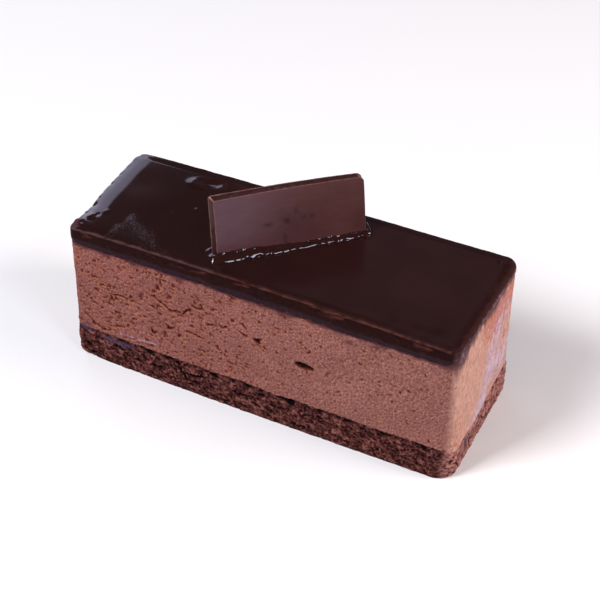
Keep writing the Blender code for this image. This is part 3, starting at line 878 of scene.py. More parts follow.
    def back_line(self, x: np.ndarray, height: np.ndarray) -> np.ndarray:
        """Y of the back at this place along the bar."""
        along, up = x / self.length + 0.5, height / self.height
        return mix(mix(*self.back_at_left, up), mix(*self.back_at_right, up), along)

    def in_plan(self, x: np.ndarray, y: np.ndarray, height: np.ndarray) -> np.ndarray:
        """Moves points of the straight bar to their place in the real, tapered outline.

        Args:
            x: places along the straight bar.
            y: places across it.
            height: their final heights.

        Returns:
            Rows of x, y, z.
        """
        x, y = self.round_corners(x, y, height)
        up = height / self.height
        bow = self.left_bow * (2.0 * y / self.width) ** 2
        over = self.glaze_overhang * ease((height - self.glaze_foot) / MM)
        left = -mix(*self.left_end, up) + bow - over
        right = mix(*self.right_end, up) - self.right_skew * (2.0 * y / self.width) * (1.0 - up)
        reach = ease((x + self.length / 2) / self.end_rise_reach)
        inset = mix(self.left_foot_inset, self.foot_inset, reach)
        inset = inset * np.maximum(0.0, 1.0 - height / self.foot_height) ** 2
        placed_x = mix(left + inset, right - inset, x / self.length + 0.5)
        front, back = self.front_line(x, height) + inset, self.back_line(x, height) - inset
        placed_y = mix(front, back, y / self.width + 0.5)
        return rows(placed_x, placed_y, height)


@dataclass
class BarBlank:
    """A straight cube of the bar's size, cut into a fine grid that a layer is shaped from.

    front, back and ends say how many strips a side gets along its length, rows how many it gets
    up its height, and ring how many run round a hidden top or underside.
    """

    name: str
    plan: BarPlan
    front: int
    back: int
    ends: int
    rows: int
    ring: int = 4
    open_top: bool = False

    def levels(self) -> list[float]:
        """Heights of the blank's hidden faces, which are a ring round one inner face."""
        return [0.0] if self.open_top else [0.0, self.plan.height]

    def crosses_ring(self, edge: bmesh.types.BMEdge) -> bool:
        """Whether an edge leads from the outline to the inner face of a hidden level."""
        start, end = edge.verts[0].co, edge.verts[1].co
        if not any(abs(start.z - z) + abs(end.z - z) < 0.1 * MM for z in self.levels()):
            return False
        depths = [self.plan.edge_distance(co.x, co.y) for co in (start, end)]
        return bool(abs(depths[0] - depths[1]) > MM)

    def along(self, axis: int, side: int = 0) -> Callable:
        """A test for edges that run along an axis, if asked only on one side across it.

        Args:
            axis: 0 for X, 1 for Y and 2 for Z.
            side: -1 for the front, 1 for the back and 0 for both.

        Returns:
            The test, for divide.
        """
        def test(edge: bmesh.types.BMEdge) -> bool:
            """Whether this edge is one of them."""
            start, end = edge.verts[0].co, edge.verts[1].co
            span = [abs(a - b) for a, b in zip(start, end)]
            if span[axis] <= 4.0 * max(span[i] for i in range(3) if i != axis):
                return False
            if side and (start.y + end.y) * side < 0.0:
                return False
            return not self.crosses_ring(edge)
        return test

    def build(self) -> bpy.types.Object:
        """Cuts the grid.

        Returns:
            The new object, out of edit mode.
        """
        plan = self.plan
        size = (plan.length, plan.width, plan.height)
        piece = start_cube(self.name, size, (0.0, 0.0, plan.height / 2))
        for level in self.levels():
            choose(piece, Pick.FACE, lambda f, z=level: all(abs(v.co.z - z) < MM for v in f.verts))
            bpy.ops.mesh.inset(thickness=plan.seam_depth)
            bpy.ops.mesh.delete(type="ONLY_FACE")
        if self.open_top:
            divide(piece, self.front, self.along(0))
        else:
            divide(piece, self.front, self.along(0, -1))
            divide(piece, self.back, self.along(0, 1))
        divide(piece, self.ends, self.along(1))
        divide(piece, self.ring, self.crosses_ring)
        divide(piece, self.rows, self.along(2))
        for level in self.levels():
            choose(piece, Pick.EDGE, lambda e, z=level: len(e.link_faces) == 1
                   and abs(e.verts[0].co.z - z) < MM)
            bpy.ops.mesh.edge_face_add()
        bpy.ops.mesh.select_all(action="SELECT")
        bpy.ops.mesh.normals_make_consistent(inside=False)
        bpy.ops.object.mode_set(mode="OBJECT")
        return piece


@dataclass
class WallRelief:
    """How deep the walls of a layer are cut, their painted shade and lip highlights, while that is
    worked out.

    straight and placed are rows of x, y, z: on the straight blank, and at their real place.
    """

    plan: BarPlan
    straight: np.ndarray
    placed: np.ndarray
    torn: tuple[float, float] = (0.2 * MM, 0.8 * MM)
    rim_offset: float = 0.14 * MM
    crack_rim_offset: float = 0.12 * MM
    rim_width: float = 0.16 * MM
    full_lip: float = 0.1 * MM
    dark_edge: float = 0.13 * MM
    depth: np.ndarray = field(init=False)
    shade: np.ndarray = field(init=False)
    lip_highlight: np.ndarray = field(init=False)
    walls: dict[Wall, tuple] = field(init=False)
    even: dict[Wall, tuple] = field(init=False)

    def __post_init__(self) -> None:
        """Finds the points of each wall, their place along it and their height."""
        self.depth = np.zeros(len(self.placed))
        self.shade = np.zeros(len(self.placed))
        self.lip_highlight = np.zeros(len(self.placed))
        x, y = self.straight[:, 0], self.straight[:, 1]
        half_x, half_y = self.plan.length / 2 - 0.01 * MM, self.plan.width / 2 - 0.01 * MM
        sides = {Wall.FRONT: (y < -half_y, 0), Wall.BACK: (y > half_y, 0),
                 Wall.LEFT: (x < -half_x, 1), Wall.RIGHT: (x > half_x, 1)}
        self.walls, self.even = {}, {}
        for wall, (inside, axis) in sides.items():
            # Each point looks a little aside, so that every hollow gets a torn outline
            at = self.placed[inside]
            self.even[wall] = (np.flatnonzero(inside), at[:, axis], at[:, 2])
            aside, above = ripple(at, self.torn[1]), ripple(at + 50.0 * MM, self.torn[1])
            self.walls[wall] = (np.flatnonzero(inside), at[:, axis] + self.torn[0] * aside,
                                at[:, 2] + self.torn[0] * above)

    def on_walls(self) -> np.ndarray:
        """Whether each point lies on one of the walls."""
        found = np.zeros(len(self.placed), dtype=bool)
        for index, _, _ in self.walls.values():
            found[index] = True
        return found

    def spots(self, wall: Wall, places: Sequence[Sequence[float]],
              size: Sequence[float]) -> np.ndarray:
        """Finds how near each point is to some places on a wall.

        Args:
            wall: the wall they are on.
            places: each one's middle, along the wall and up.
            size: how far a spot reaches along the wall and up.

        Returns:
            A share for each point, 1 in the middle of a spot and 0 off the wall.
        """
        found = np.zeros(len(self.placed))
        index, along, height = self.walls[wall]
        for middle, up in places:
            near = hump(np.hypot((along - middle) / size[0], (height - up) / size[1]))
            found[index] = np.maximum(found[index], near)
        return found

    def dent(self, wall: Wall, place: Sequence[float], size: Sequence[float], depth: float,
             tilt: float = 0.0, lip: float = 0.0, shade: float = 1.0, even: bool = False) -> None:
        """Presses one rounded hollow into a wall.

        Args:
            wall: the wall it is in.
            place: its middle, along the wall and up.
            size: its half length and half height.
            depth: how deep it is in its middle.
            tilt: how far its length leans from level, in radians.
            lip: how far the rim round it stands proud.
            shade: how dark the painted shade inside it is, up to 1.
            even: whether its outline is smooth instead of torn.
        """
        index, along, height = (self.even if even else self.walls)[wall]
        aside, above = along - place[0], height - place[1]
        near = np.hypot(aside, above) < 1.7 * max(size)
        index, aside, above = index[near], aside[near], above[near]
        reach = oval(aside, above, size, tilt)
        bowl = np.clip(1.0 - reach * reach, 0.0, 1.0) ** 0.6
        self.depth[index] = np.maximum(self.depth[index], depth * bowl)
        away = np.maximum(np.hypot(aside, above), 1e-6)
        # The rim and its painted highlight lie mostly below and right of the hollow, the side lit
        # from above left
        lower = np.clip(0.25 + 0.75 * (0.6 * aside - above) / away, 0.0, 1.0)
        rim = hump(((reach - 1.0) * min(size) - self.rim_offset) / self.rim_width) * lower
        self.depth[index] -= lip * rim
        seen = min(1.0, lip / self.full_lip)
        self.lip_highlight[index] = np.maximum(self.lip_highlight[index], seen * shade * rim)
        dark = np.clip((1.08 - reach) * min(size) / self.dark_edge, 0.0, 1.0)
        self.shade[index] = np.maximum(self.shade[index], shade * dark)

    def crack(self, wall: Wall, points: Sequence[Sequence[float]], width: float, depth: float,
              shade: float = 1.0, lip: float = 0.0) -> None:
        """Cuts a narrow tear that follows a line, and thins out at both its ends.

        Args:
            wall: the wall it is in.
            points: its corners, along the wall and up.
            width: its half width.
            depth: how deep it is.
            shade: how dark the painted shade inside it is, up to 1.
            lip: how far its lower rim stands proud.
        """
        index, along, height = self.walls[wall]
        places = np.array(points)
        runs = np.hypot(*np.diff(places, axis=0).T)
        total, before = runs.sum(), 0.0
        for start, end, run in zip(places, places[1:], runs):
            step = (end - start) / run
            aside, above = along - start[0], height - start[1]
            share = np.clip(aside * step[0] + above * step[1], 0.0, run)
            away = np.hypot(aside - share * step[0], above - share * step[1])
            taper = 1.0 - np.abs(2.0 * (before + share) / total - 1.0) ** 3
            wide = width * (0.45 + 0.55 * taper)
            below = (aside * step[1] - above * step[0]) * math.copysign(1.0, step[0])
            # Only the lower rim stands proud, and it gets a painted highlight
            rim = hump((away - wide - self.crack_rim_offset) / self.rim_width)
            rim *= (below > 0.0) * taper
            self.lip_highlight[index] = np.maximum(self.lip_highlight[index], shade * rim)
            self.depth[index] -= lip * rim
            near = away < wide
            bowl = np.clip(1.0 - (away[near] / wide[near]) ** 2, 0.0, 1.0) ** 0.7
            bowl = bowl * (0.4 + 0.6 * taper[near])
            at = index[near]
            self.depth[at] = np.maximum(self.depth[at], depth * bowl)
            self.shade[at] = np.maximum(self.shade[at], shade * np.minimum(1.0, 2.0 * bowl))
            before += run


def outward(piece: bpy.types.Object) -> np.ndarray:
    """The level direction out of the walls, at each point of a mesh."""
    normals = read_normals(piece)
    normals[:, 2] = 0.0
    length = np.maximum(np.linalg.norm(normals, axis=1, keepdims=True), 1e-6)
    return normals / length


def in_mm(*places: tuple[float, float]) -> list[tuple[float, float]]:
    """Places along a wall and up it, given in millimetres."""
    return [(along * MM, up * MM) for along, up in places]


# ---------------------------------------------------------------- sponge


@dataclass
class Seams:
    """The ragged lines where the layers meet, and the gaps that gape in the lower one."""

    plan: BarPlan
    jag: tuple[float, float] = (0.32 * MM, 1.4 * MM)
    fine_jag: tuple[float, float] = (0.19 * MM, 0.55 * MM)
    torn_end: tuple[float, float] = (5.0 * MM, 4.0 * MM)
    closed: float = 0.05 * MM
    gaps: list = field(default_factory=lambda: [
        (-29.2, 1.7, 0.5), (-24.6, 1.5, 0.35), (-21.0, 1.2, 0.3), (-11.4, 1.1, 0.5),
        (-6.4, 0.8, 0.35), (-2.6, 1.5, 0.3), (1.2, 1.3, 0.35), (9.2, 1.6, 1.1),
        (13.1, 0.9, 0.3), (16.4, 1.1, 0.4), (20.0, 0.8, 0.3), (23.6, 1.6, 0.4),
        (28.4, 1.2, 0.25), (33.0, 1.4, 0.3), (38.2, 1.2, 0.35), (43.6, 1.5, 0.4),
        (47.0, 0.7, 0.35),
    ])

    def sponge_line(self, x: np.ndarray, y: np.ndarray) -> np.ndarray:
        """Height of the ragged seam over the sponge."""
        jag = ripples(rows(x, y), self.jag, self.fine_jag)
        return self.plan.sponge_roof(x, y) + jag * self.plan.near_wall(x, y)

    def gape(self, x: np.ndarray, y: np.ndarray) -> np.ndarray:
        """How far the sponge hangs below the seam, mostly in the gaps of the long walls."""
        found = np.zeros_like(x)
        for middle, half, drop in self.gaps:
            for side in (-1.0, 1.0):
                at = middle * MM * -side
                hang = drop * MM * hump((x - at) / (half * MM)) ** 2
                found += np.where(y * side > 0.0, hang, 0.0)
        return found * self.plan.near_wall(x, y)

    def glaze_line(self, x: np.ndarray, y: np.ndarray) -> np.ndarray:
        """Height of the seam under the glaze, softer but for its torn right end."""
        flat = rows(x, y, self.plan.height)
        torn = ease((x - self.plan.length / 2 + self.torn_end[0]) / self.torn_end[1])
        jag = mix(0.75, 1.5, torn) * self.jag[0] * ripple(flat, 1.5 * self.jag[1])
        jag = jag + mix(0.4, 1.3, torn) * self.fine_jag[0] * ripple(flat, self.fine_jag[1])
        return self.plan.glaze_floor(x, y) + jag * self.plan.near_wall(x, y)


@dataclass
class SpongeBase:
    """The cocoa sponge under the mousse, with an open crumb torn by the knife."""

    plan: BarPlan
    seams: Seams
    finish: CocoaSponge = CocoaSponge()
    seed: int = 19
    coarse: tuple[float, float] = (0.24 * MM, 2.6 * MM)
    middle: tuple[float, float] = (0.17 * MM, 1.2 * MM)
    fine: tuple[float, float] = (0.14 * MM, 0.55 * MM)
    pore_spacing: tuple[float, float, float] = (1.15 * MM, 1.15 * MM, 0.8 * MM)
    pore_depth: float = 0.55 * MM
    open_patch: float = 3.5 * MM
    shadow_patch: float = 2.6 * MM
    speckles: tuple = ((0.7, 2.0 * MM), (0.9, 0.7 * MM))
    crumb_height: float = 0.9 * MM
    shoulder: float = 0.22 * MM
    swell: float = 0.12 * MM
    end_swell: float = 0.3 * MM
    film_places: list = field(default_factory=lambda: in_mm(
        (-48.0, 9.6), (-40.5, 8.4), (-37.0, 8.0)))
    tears: list = field(default_factory=lambda: [
        (in_mm((-22.7, 7.6), (-21.2, 6.9), (-19.9, 5.5), (-19.0, 3.9)), 0.35, 0.9),
        (in_mm((-28.9, 5.1), (-27.6, 4.9), (-26.2, 5.2)), 0.42, 0.9),
        (in_mm((-31.6, 6.7), (-30.4, 6.2)), 0.4, 0.7),
        (in_mm((-18.6, 6.0), (-16.4, 6.1), (-14.4, 6.9)), 0.4, 0.8),
        (in_mm((-12.6, 8.7), (-10.2, 8.5)), 0.5, 1.0),
        (in_mm((-6.6, 5.7), (-4.6, 5.3), (-2.6, 5.9)), 0.36, 0.9),
        (in_mm((2.4, 4.1), (5.2, 3.2)), 0.34, 0.8),
        (in_mm((-13.0, 4.6), (-11.4, 4.4)), 0.32, 0.7),
        (in_mm((16.4, 6.1), (18.0, 5.6)), 0.32, 0.7),
        (in_mm((-40.0, 6.8), (-38.4, 6.6)), 0.3, 0.6),
    ])

    def build(self) -> bpy.types.Object:
        """Models and dresses the sponge.

        Returns:
            The finished piece.
        """
        blank = BarBlank("sponge_crumb", self.plan, front=460, back=345, ends=150, rows=42)
        piece = blank.build()
        straight = read_points(piece)
        x, y, part = straight[:, 0], straight[:, 1], straight[:, 2] / self.plan.height
        roof = self.seams.sponge_line(x, y) - self.seams.closed / 2 - self.seams.gape(x, y)
        placed = self.plan.in_plan(x, y, roof * part)
        write_points(piece, placed)
        relief = WallRelief(self.plan, straight, placed)
        self.tear(relief)
        wall = relief.on_walls()
        rough = np.zeros(len(placed))
        pore = np.zeros(len(placed))
        swells, clods, grit = (size * ripple(placed[wall], spacing)
                               for size, spacing in (self.coarse, self.middle, self.fine))
        rough[wall] = swells + clods + grit
        pore[wall] = np.clip((0.42 - cells(placed[wall], self.pore_spacing)) / 0.42, 0.0, 1.0)
        # The crumb is open in patches, and denser between them
        pore *= np.where(ripple(placed, self.open_patch) > -0.15, 1.0, 0.45)
        edge = np.minimum(part, 1.0 - part)
        shoulder = self.shoulder * np.maximum(0.0, 1.0 - (1.0 - part) / 0.07) ** 2
        calm = ease(edge / 0.03)
        moved = (rough - self.pore_depth * pore) * mix(0.4, 1.0, calm) - relief.depth * calm
        # Painted light and shade: the colour follows the relief, lighter where it stands out,
        # darker in hollows
        crumb = moved / self.crumb_height
        crumb[wall] -= 0.6 * swells / self.crumb_height
        write_attribute(piece, "crumb", np.clip(crumb, -0.3, 0.3) * wall)
        out = outward(piece)
        moved = (moved - shoulder + self.swell + self.end_swell * np.abs(out[:, 0])) * wall
        write_points(piece, placed + out * moved[:, None] + np.array(PLAN_SHIFT))
        # Painted shadow under the seam and in the gaps, painted shade in pores; dragged end
        # speckled with mousse
        seam_shadow = ease((part - 0.9) / 0.07)
        seam_shadow *= np.clip(0.35 + 1.3 * ripple(placed, self.shadow_patch), 0.0, 1.0)
        gap = np.clip(self.seams.gape(x, y) / (0.5 * MM) - 0.3, 0.0, 1.0)
        gap *= ease((part - 0.86) / 0.08)
        drag = ease((out[:, 0] - 0.3) / 0.5) * wall
        seam = (seam_shadow + gap) * (1.0 - drag)
        shade = np.clip(mix(0.6, 1.3, drag) * pore + relief.shade + seam, 0.0, 1.0)
        write_attribute(piece, "pore", np.where(wall, shade, gap))
        speckle = ripples(placed, *self.speckles, base=0.55)
        write_attribute(piece, "drag", 0.85 * drag * np.clip(speckle, 0.0, 1.0))
        film = relief.spots(Wall.RIGHT, in_mm((-9.4, 6.3)), (2.2 * MM, 1.1 * MM))
        film += relief.spots(Wall.FRONT, self.film_places, (2.2 * MM, 0.7 * MM))
        write_attribute(piece, "film", np.clip(film, 0.0, 0.85))
        piece.data.materials.append(self.finish.material())
        finish_piece(piece, Solid.SPONGE, 60.0)
        return piece

    def tear(self, relief: WallRelief) -> None:
        """Opens the large tears: where the front shows them, and by chance on the other walls."""
        for points, width, depth in self.tears:
            relief.crack(Wall.FRONT, points, width * MM, depth * MM)
        rng = random.Random(self.seed)
        reach = {Wall.FRONT: 48.0, Wall.BACK: 44.0, Wall.LEFT: 15.0, Wall.RIGHT: 15.0}
        counts = {Wall.FRONT: 30, Wall.BACK: 38, Wall.LEFT: 14, Wall.RIGHT: 26}
        for wall, count in counts.items():
            for _ in range(count):
                highest = 6.0 if wall is Wall.RIGHT else 8.6
                along, up = rng.uniform(-reach[wall], reach[wall]), rng.uniform(1.4, highest)
                long, lean = rng.uniform(0.4, 1.3), rng.uniform(-0.5, 0.5)
                points = in_mm((along - long, up + lean), (along, up),
                               (along + long, up - lean * rng.random()))
                relief.crack(wall, points, rng.uniform(0.25, 0.45) * MM,
                             rng.uniform(0.4, 0.8) * MM, rng.uniform(0.6, 1.0))


# ---------------------------------------------------------------- mousse


@dataclass
class MousseLayer:
    """The thick mousse between sponge and glaze, with the bubbles that the knife opened."""

    plan: BarPlan
    seams: Seams
    finish: CutMousse = CutMousse()
    seed: int = 7
    swell: tuple[float, float] = (0.16 * MM, 6.0 * MM)
    grain: tuple[float, float] = (0.055 * MM, 1.0 * MM)
    fine: tuple[float, float] = (0.035 * MM, 0.5 * MM)
    streak: tuple[float, float] = (0.09 * MM, 0.9 * MM)
    end_swell: float = 0.25 * MM
    glint_line: list = field(default_factory=lambda: in_mm(
        (-38.0, 11.5), (-33.3, 11.5), (-30.3, 11.7), (-27.0, 12.1)))
    lilac_line: tuple = ((6.0, -7.0), (10.6, -1.6), (13.9, 2.3), (20.2, 4.4), (28.1, 6.2),
                         (36.0, 8.0))
    slit: tuple = ((12.7 * MM, 21.4 * MM), (2.5 * MM, 0.95 * MM), 1.2 * MM)
    slit_tilt: float = math.radians(-2)
    pit: tuple = ((0.3 * MM, 24.2 * MM), (1.1 * MM, 0.7 * MM), 1.0 * MM)
    pit_tilt: float = math.radians(-28)
    counts: dict[Wall, int] = field(default_factory=lambda: {
        Wall.FRONT: 800, Wall.BACK: 780, Wall.LEFT: 270, Wall.RIGHT: 4})
    holes: list = field(default_factory=lambda: in_mm(
        (-43.7, 27.2), (-26.5, 29.8), (-33.9, 23.2), (-31.7, 19.3), (-29.4, 22.0),
        (-21.0, 21.7), (-21.1, 17.1), (-8.5, 28.8), (-40.5, 24.3), (-46.1, 30.0),
        (-47.6, 14.0), (-40.6, 13.9), (-31.2, 24.8), (11.7, 28.3), (18.7, 20.7),
        (27.0, 27.9), (14.2, 31.3), (2.7, 13.0), (-6.3, 27.8), (7.9, 29.9)))
    cracks: list = field(default_factory=lambda: [
        in_mm((-28.9, 27.1), (-27.4, 27.5), (-26.4, 26.4), (-24.8, 25.7), (-23.3, 24.5),
              (-21.2, 24.9), (-19.7, 24.8), (-19.6, 24.1)),
        in_mm((-19.7, 24.8), (-18.8, 26.0), (-17.2, 26.8)),
        in_mm((-17.3, 28.3), (-16.0, 27.9), (-13.8, 28.1)),
        in_mm((-29.2, 24.1), (-27.8, 24.0), (-26.7, 23.4)),
        in_mm((-39.7, 22.9), (-37.5, 23.6), (-35.4, 23.6)),
        in_mm((-39.1, 13.3), (-36.3, 14.0)),
        in_mm((-19.5, 19.6), (-17.2, 19.6), (-15.8, 19.2), (-14.0, 19.0)),
        in_mm((-13.3, 23.8), (-11.5, 24.6)),
        in_mm((-10.0, 25.0), (-8.9, 24.5), (-7.7, 25.5)),
        in_mm((-47.5, 14.2), (-46.0, 13.0), (-44.5, 11.6), (-42.7, 10.9), (-40.5, 11.1)),
        in_mm((-45.7, 18.7), (-43.6, 18.3)),
        in_mm((-24.5, 18.6), (-23.3, 18.6), (-22.3, 19.3)),
        in_mm((-28.8, 16.0), (-27.9, 15.5), (-27.3, 16.1)),
        in_mm((-4.6, 25.4), (-3.1, 24.6), (-2.0, 24.9)),
        in_mm((-4.4, 28.0), (-3.4, 27.9), (-2.5, 26.6)),
    ])
    stains: list = field(default_factory=lambda: in_mm(
        (7.0, 34.9), (20.4, 36.0), (24.2, 33.2), (-20.0, 34.6), (-33.0, 35.0), (31.0, 34.4)))
    stain_size: tuple[float, float] = (1.5 * MM, 0.8 * MM)
    film_places: list = field(default_factory=lambda: in_mm((-49.6, 12.0), (-47.2, 10.8)))
    film_size: tuple[float, float] = (1.6 * MM, 1.1 * MM)

    def build(self) -> bpy.types.Object:
        """Models and dresses the mousse.

        Returns:
            The finished piece.
        """
        blank = BarBlank("cut_mousse", self.plan, front=430, back=290, ends=124, rows=98, ring=2)
        piece = blank.build()
        straight = read_points(piece)
        x, y, part = straight[:, 0], straight[:, 1], straight[:, 2] / self.plan.height
        floor = self.seams.sponge_line(x, y) + self.seams.closed / 2
        roof = self.seams.glaze_line(x, y) - self.seams.closed / 2
        placed = self.plan.in_plan(x, y, mix(floor, roof, part))
        write_points(piece, placed)
        relief = WallRelief(self.plan, straight, placed)
        self.open_bubbles(relief)
        out = outward(piece)
        wall = relief.on_walls()
        drag = ease((out[:, 0] - 0.35) / 0.6) * wall
        rough = np.zeros(len(placed))
        at = placed[wall]
        swell = ripple(at, self.swell[1]) + ripple(at, self.swell[1] / 2) / 2 - 0.3
        rough[wall] = self.swell[0] * swell * np.sin(math.pi * part[wall])
        plain = ripples(at, self.grain, self.fine)
        tall = (self.streak[1], self.streak[1], 4.5 * self.streak[1])
        rough[wall] += mix(plain, self.streak[0] * ripple(at, tall) + 0.4 * plain, drag[wall])
        calm = ease(np.minimum(part, 1.0 - part) / 0.012)
        moved = (rough - relief.depth * calm + self.end_swell * np.abs(out[:, 0])) * wall
        write_points(piece, placed + out * moved[:, None] + np.array(PLAN_SHIFT))
        # The pits' painted shade, and the painted highlight on their lower lips
        write_attribute(piece, "pit", np.clip(relief.shade, 0.0, 1.0))
        write_attribute(piece, "lip", np.clip(relief.lip_highlight, 0.0, 0.75))
        write_attribute(piece, "painted_glint", self.painted_glint(relief))
        write_attribute(piece, "drag", drag)
        write_attribute(piece, "lilac", self.lilac(placed))
        write_attribute(piece, "fleck", self.flecks(placed))
        stain = 0.75 * relief.spots(Wall.FRONT, self.stains, self.stain_size)
        write_attribute(piece, "stain", stain)
        film = self.film(x, placed, roof) * wall
        film += 0.5 * relief.spots(Wall.FRONT, self.film_places, self.film_size)
        write_attribute(piece, "film", np.clip(film, 0.0, 0.9))
        piece.data.materials.append(self.finish.material())
        finish_piece(piece, Solid.MOUSSE, 60.0)
        return piece

    def open_bubbles(self, relief: WallRelief) -> None:
        """Opens the slit, the holes and the tears that the front shows, and scatters the rest.

        Args:
            relief: the relief that they are cut into.
        """
        for (place, size, depth), tilt in ((self.slit, self.slit_tilt), (self.pit, self.pit_tilt)):
            relief.dent(Wall.FRONT, place, size, depth, tilt, lip=0.02 * MM, even=True)
        rng = random.Random(self.seed)
        for place in self.holes:
            size = rng.uniform(0.34, 0.5) * MM
            relief.dent(Wall.FRONT, place, (1.2 * size, 0.8 * size), 0.6 * MM, -0.6, 0.1 * MM,
                        rng.uniform(0.7, 1.0))
        for points in self.cracks:
            relief.crack(Wall.FRONT, points, 0.3 * MM, 0.6 * MM, 0.9, 0.1 * MM)
        for wall, count in self.counts.items():
            self.scatter(relief, rng, wall, count)

    def scatter(self, relief: WallRelief, rng: random.Random, wall: Wall, count: int) -> None:
        """Opens many small bubbles in one wall, larger and closer towards the bar's left.

        Args:
            relief: the relief that they are cut into.
            rng: the source of chance.
            wall: the wall.
            count: how many are tried.
        """
        reach = 49.0 * MM if wall in (Wall.FRONT, Wall.BACK) else 15.5 * MM
        for _ in range(count):
            along, up = rng.uniform(-reach, reach), rng.uniform(10.4, 35.2) * MM
            coarse = 1.0
            if wall in (Wall.FRONT, Wall.BACK):
                coarse = mix(1.0, 0.36, ease((along + 14.0 * MM) / (30.0 * MM)))
            if rng.random() > coarse:
                continue
            size = (0.16 + 0.26 * rng.random() ** 2.6) * mix(0.85, 1.1, coarse) * MM
            tilt = rng.uniform(-0.9, 0.35)
            if rng.random() < 0.42 * coarse:
                self.crescent(relief, rng, wall, (along, up), rng.uniform(1.4, 2.8) * size, tilt)
                continue
            long = size * rng.uniform(1.0, 2.0)
            relief.dent(wall, (along, up), (long, size), rng.uniform(0.9, 1.7) * size, tilt,
                        0.09 * MM, rng.uniform(0.25, 0.8) * mix(0.7, 1.0, coarse))

    def crescent(self, relief: WallRelief, rng: random.Random, wall: Wall,
                 place: tuple[float, float], size: float, tilt: float) -> None:
        """Cuts the curved rim that is left of a bubble whose wall the knife only touched.

        Args:
            relief: the relief that it is cut into.
            rng: the source of chance.
            wall: the wall.
            place: the bubble's middle, along the wall and up.
            size: the bubble's radius.
            tilt: where along its rim the cut lies, in radians.
        """
        middle = tilt - math.pi / 2 + rng.uniform(-0.4, 0.4)
        turns = [middle + step * 0.55 for step in (-1.5, -0.5, 0.5, 1.5)]
        points = [(place[0] + size * math.cos(turn), place[1] + size * math.sin(turn))
                  for turn in turns]
        relief.crack(wall, points, 0.24 * MM, 0.4 * MM, rng.uniform(0.35, 0.8), 0.12 * MM)

    def painted_glint(self, relief: WallRelief) -> np.ndarray:
        """Where a painted glint, the shine of a bead of water, lies along a tear.

        Args:
            relief: the relief, whose points are looked at.

        Returns:
            A share from 0 to 1 for each point.
        """
        found = np.zeros(len(relief.placed))
        index, along, height = relief.walls[Wall.FRONT]
        places = np.array(self.glint_line)
        up = np.interp(along, places[:, 0], places[:, 1])
        inside = (along > places[0, 0]) & (along < places[-1, 0])
        ragged = np.clip(0.55 + 1.2 * ripple(relief.placed[index], 1.5 * MM), 0.1, 0.85)
        found[index] = hump((height - up) / (0.2 * MM)) * inside * ragged
        return found

    def film(self, x: np.ndarray, placed: np.ndarray, roof: np.ndarray) -> np.ndarray:
        """Where the knife drew a thin film of glaze over the top of the mousse.

        Args:
            x: places along the straight bar.
            placed: the points at their real place, as rows of x, y, z.
            roof: the height of the glaze's underside over each of them.

        Returns:
            A share from 0 to 1 for each point.
        """
        y = placed[:, 1]
        flat = rows(x, y)
        corner = np.hypot(x - self.plan.length / 2, y + self.plan.width / 2)
        reach = 0.2 * MM + 0.7 * MM * np.clip(0.25 + ripple(flat, 3.1 * MM), 0.0, 1.0)
        reach += 0.3 * MM * np.clip(ripple(flat, 0.9 * MM), 0.0, 1.0)
        reach += 1.2 * MM * hump(corner / (3.0 * MM)) * (1.0 + ripple(flat, 1.2 * MM))
        drawn = np.clip(0.6 + ripple(placed, (1.3 * MM, 1.3 * MM, 5.0 * MM)), 0.2, 1.3)
        reach += 1.5 * MM * drawn * (x > self.plan.length / 2 - 0.01 * MM)
        return 0.9 * ease(1.0 - (roof - placed[:, 2]) / (2.0 * reach))

    def flecks(self, placed: np.ndarray) -> np.ndarray:
        """How flecks crowd on the right end: low by its front edge, and high up behind it."""
        _, y, z = placed.T
        front = 0.5 * hump((y + 17.0 * MM) / (7.0 * MM))
        front *= mix(1.0, 0.5, ease((z - 14.0 * MM) / (9.0 * MM)))
        back = 1.5 * hump((36.0 * MM - z) / (7.5 * MM)) * ease((y + 6.0 * MM) / (8.0 * MM))
        return front + back

    def lilac(self, placed: np.ndarray) -> np.ndarray:
        """Where a lilac sheen is painted on the right end: up a slanting line, and behind it.

        Args:
            placed: rows of x, y, z.

        Returns:
            A share from 0 to 1 for each point.
        """
        y, z = placed[:, 1], placed[:, 2]
        line = np.interp(z / MM, *zip(*self.lilac_line)) * MM + 1.2 * MM * ripple(placed, 4.0 * MM)
        band = 0.62 * hump((y - line) / (3.2 * MM))
        slant = placed.copy()
        slant[:, 1] -= 0.3 * z
        tall = ripple(slant, (1.1 * MM, 1.1 * MM, 7.0 * MM))
        streaks = ease((y - line) / (4.0 * MM)) * np.clip(0.35 + 1.2 * tall, 0.0, 1.0)
        streaks *= mix(1.0, 0.45, ease((z - 25.0 * MM) / (8.0 * MM)))
        return np.clip(band * (1.0 + 0.6 * tall) + 0.85 * streaks, 0.0, 1.0)


# ---------------------------------------------------------------- glaze


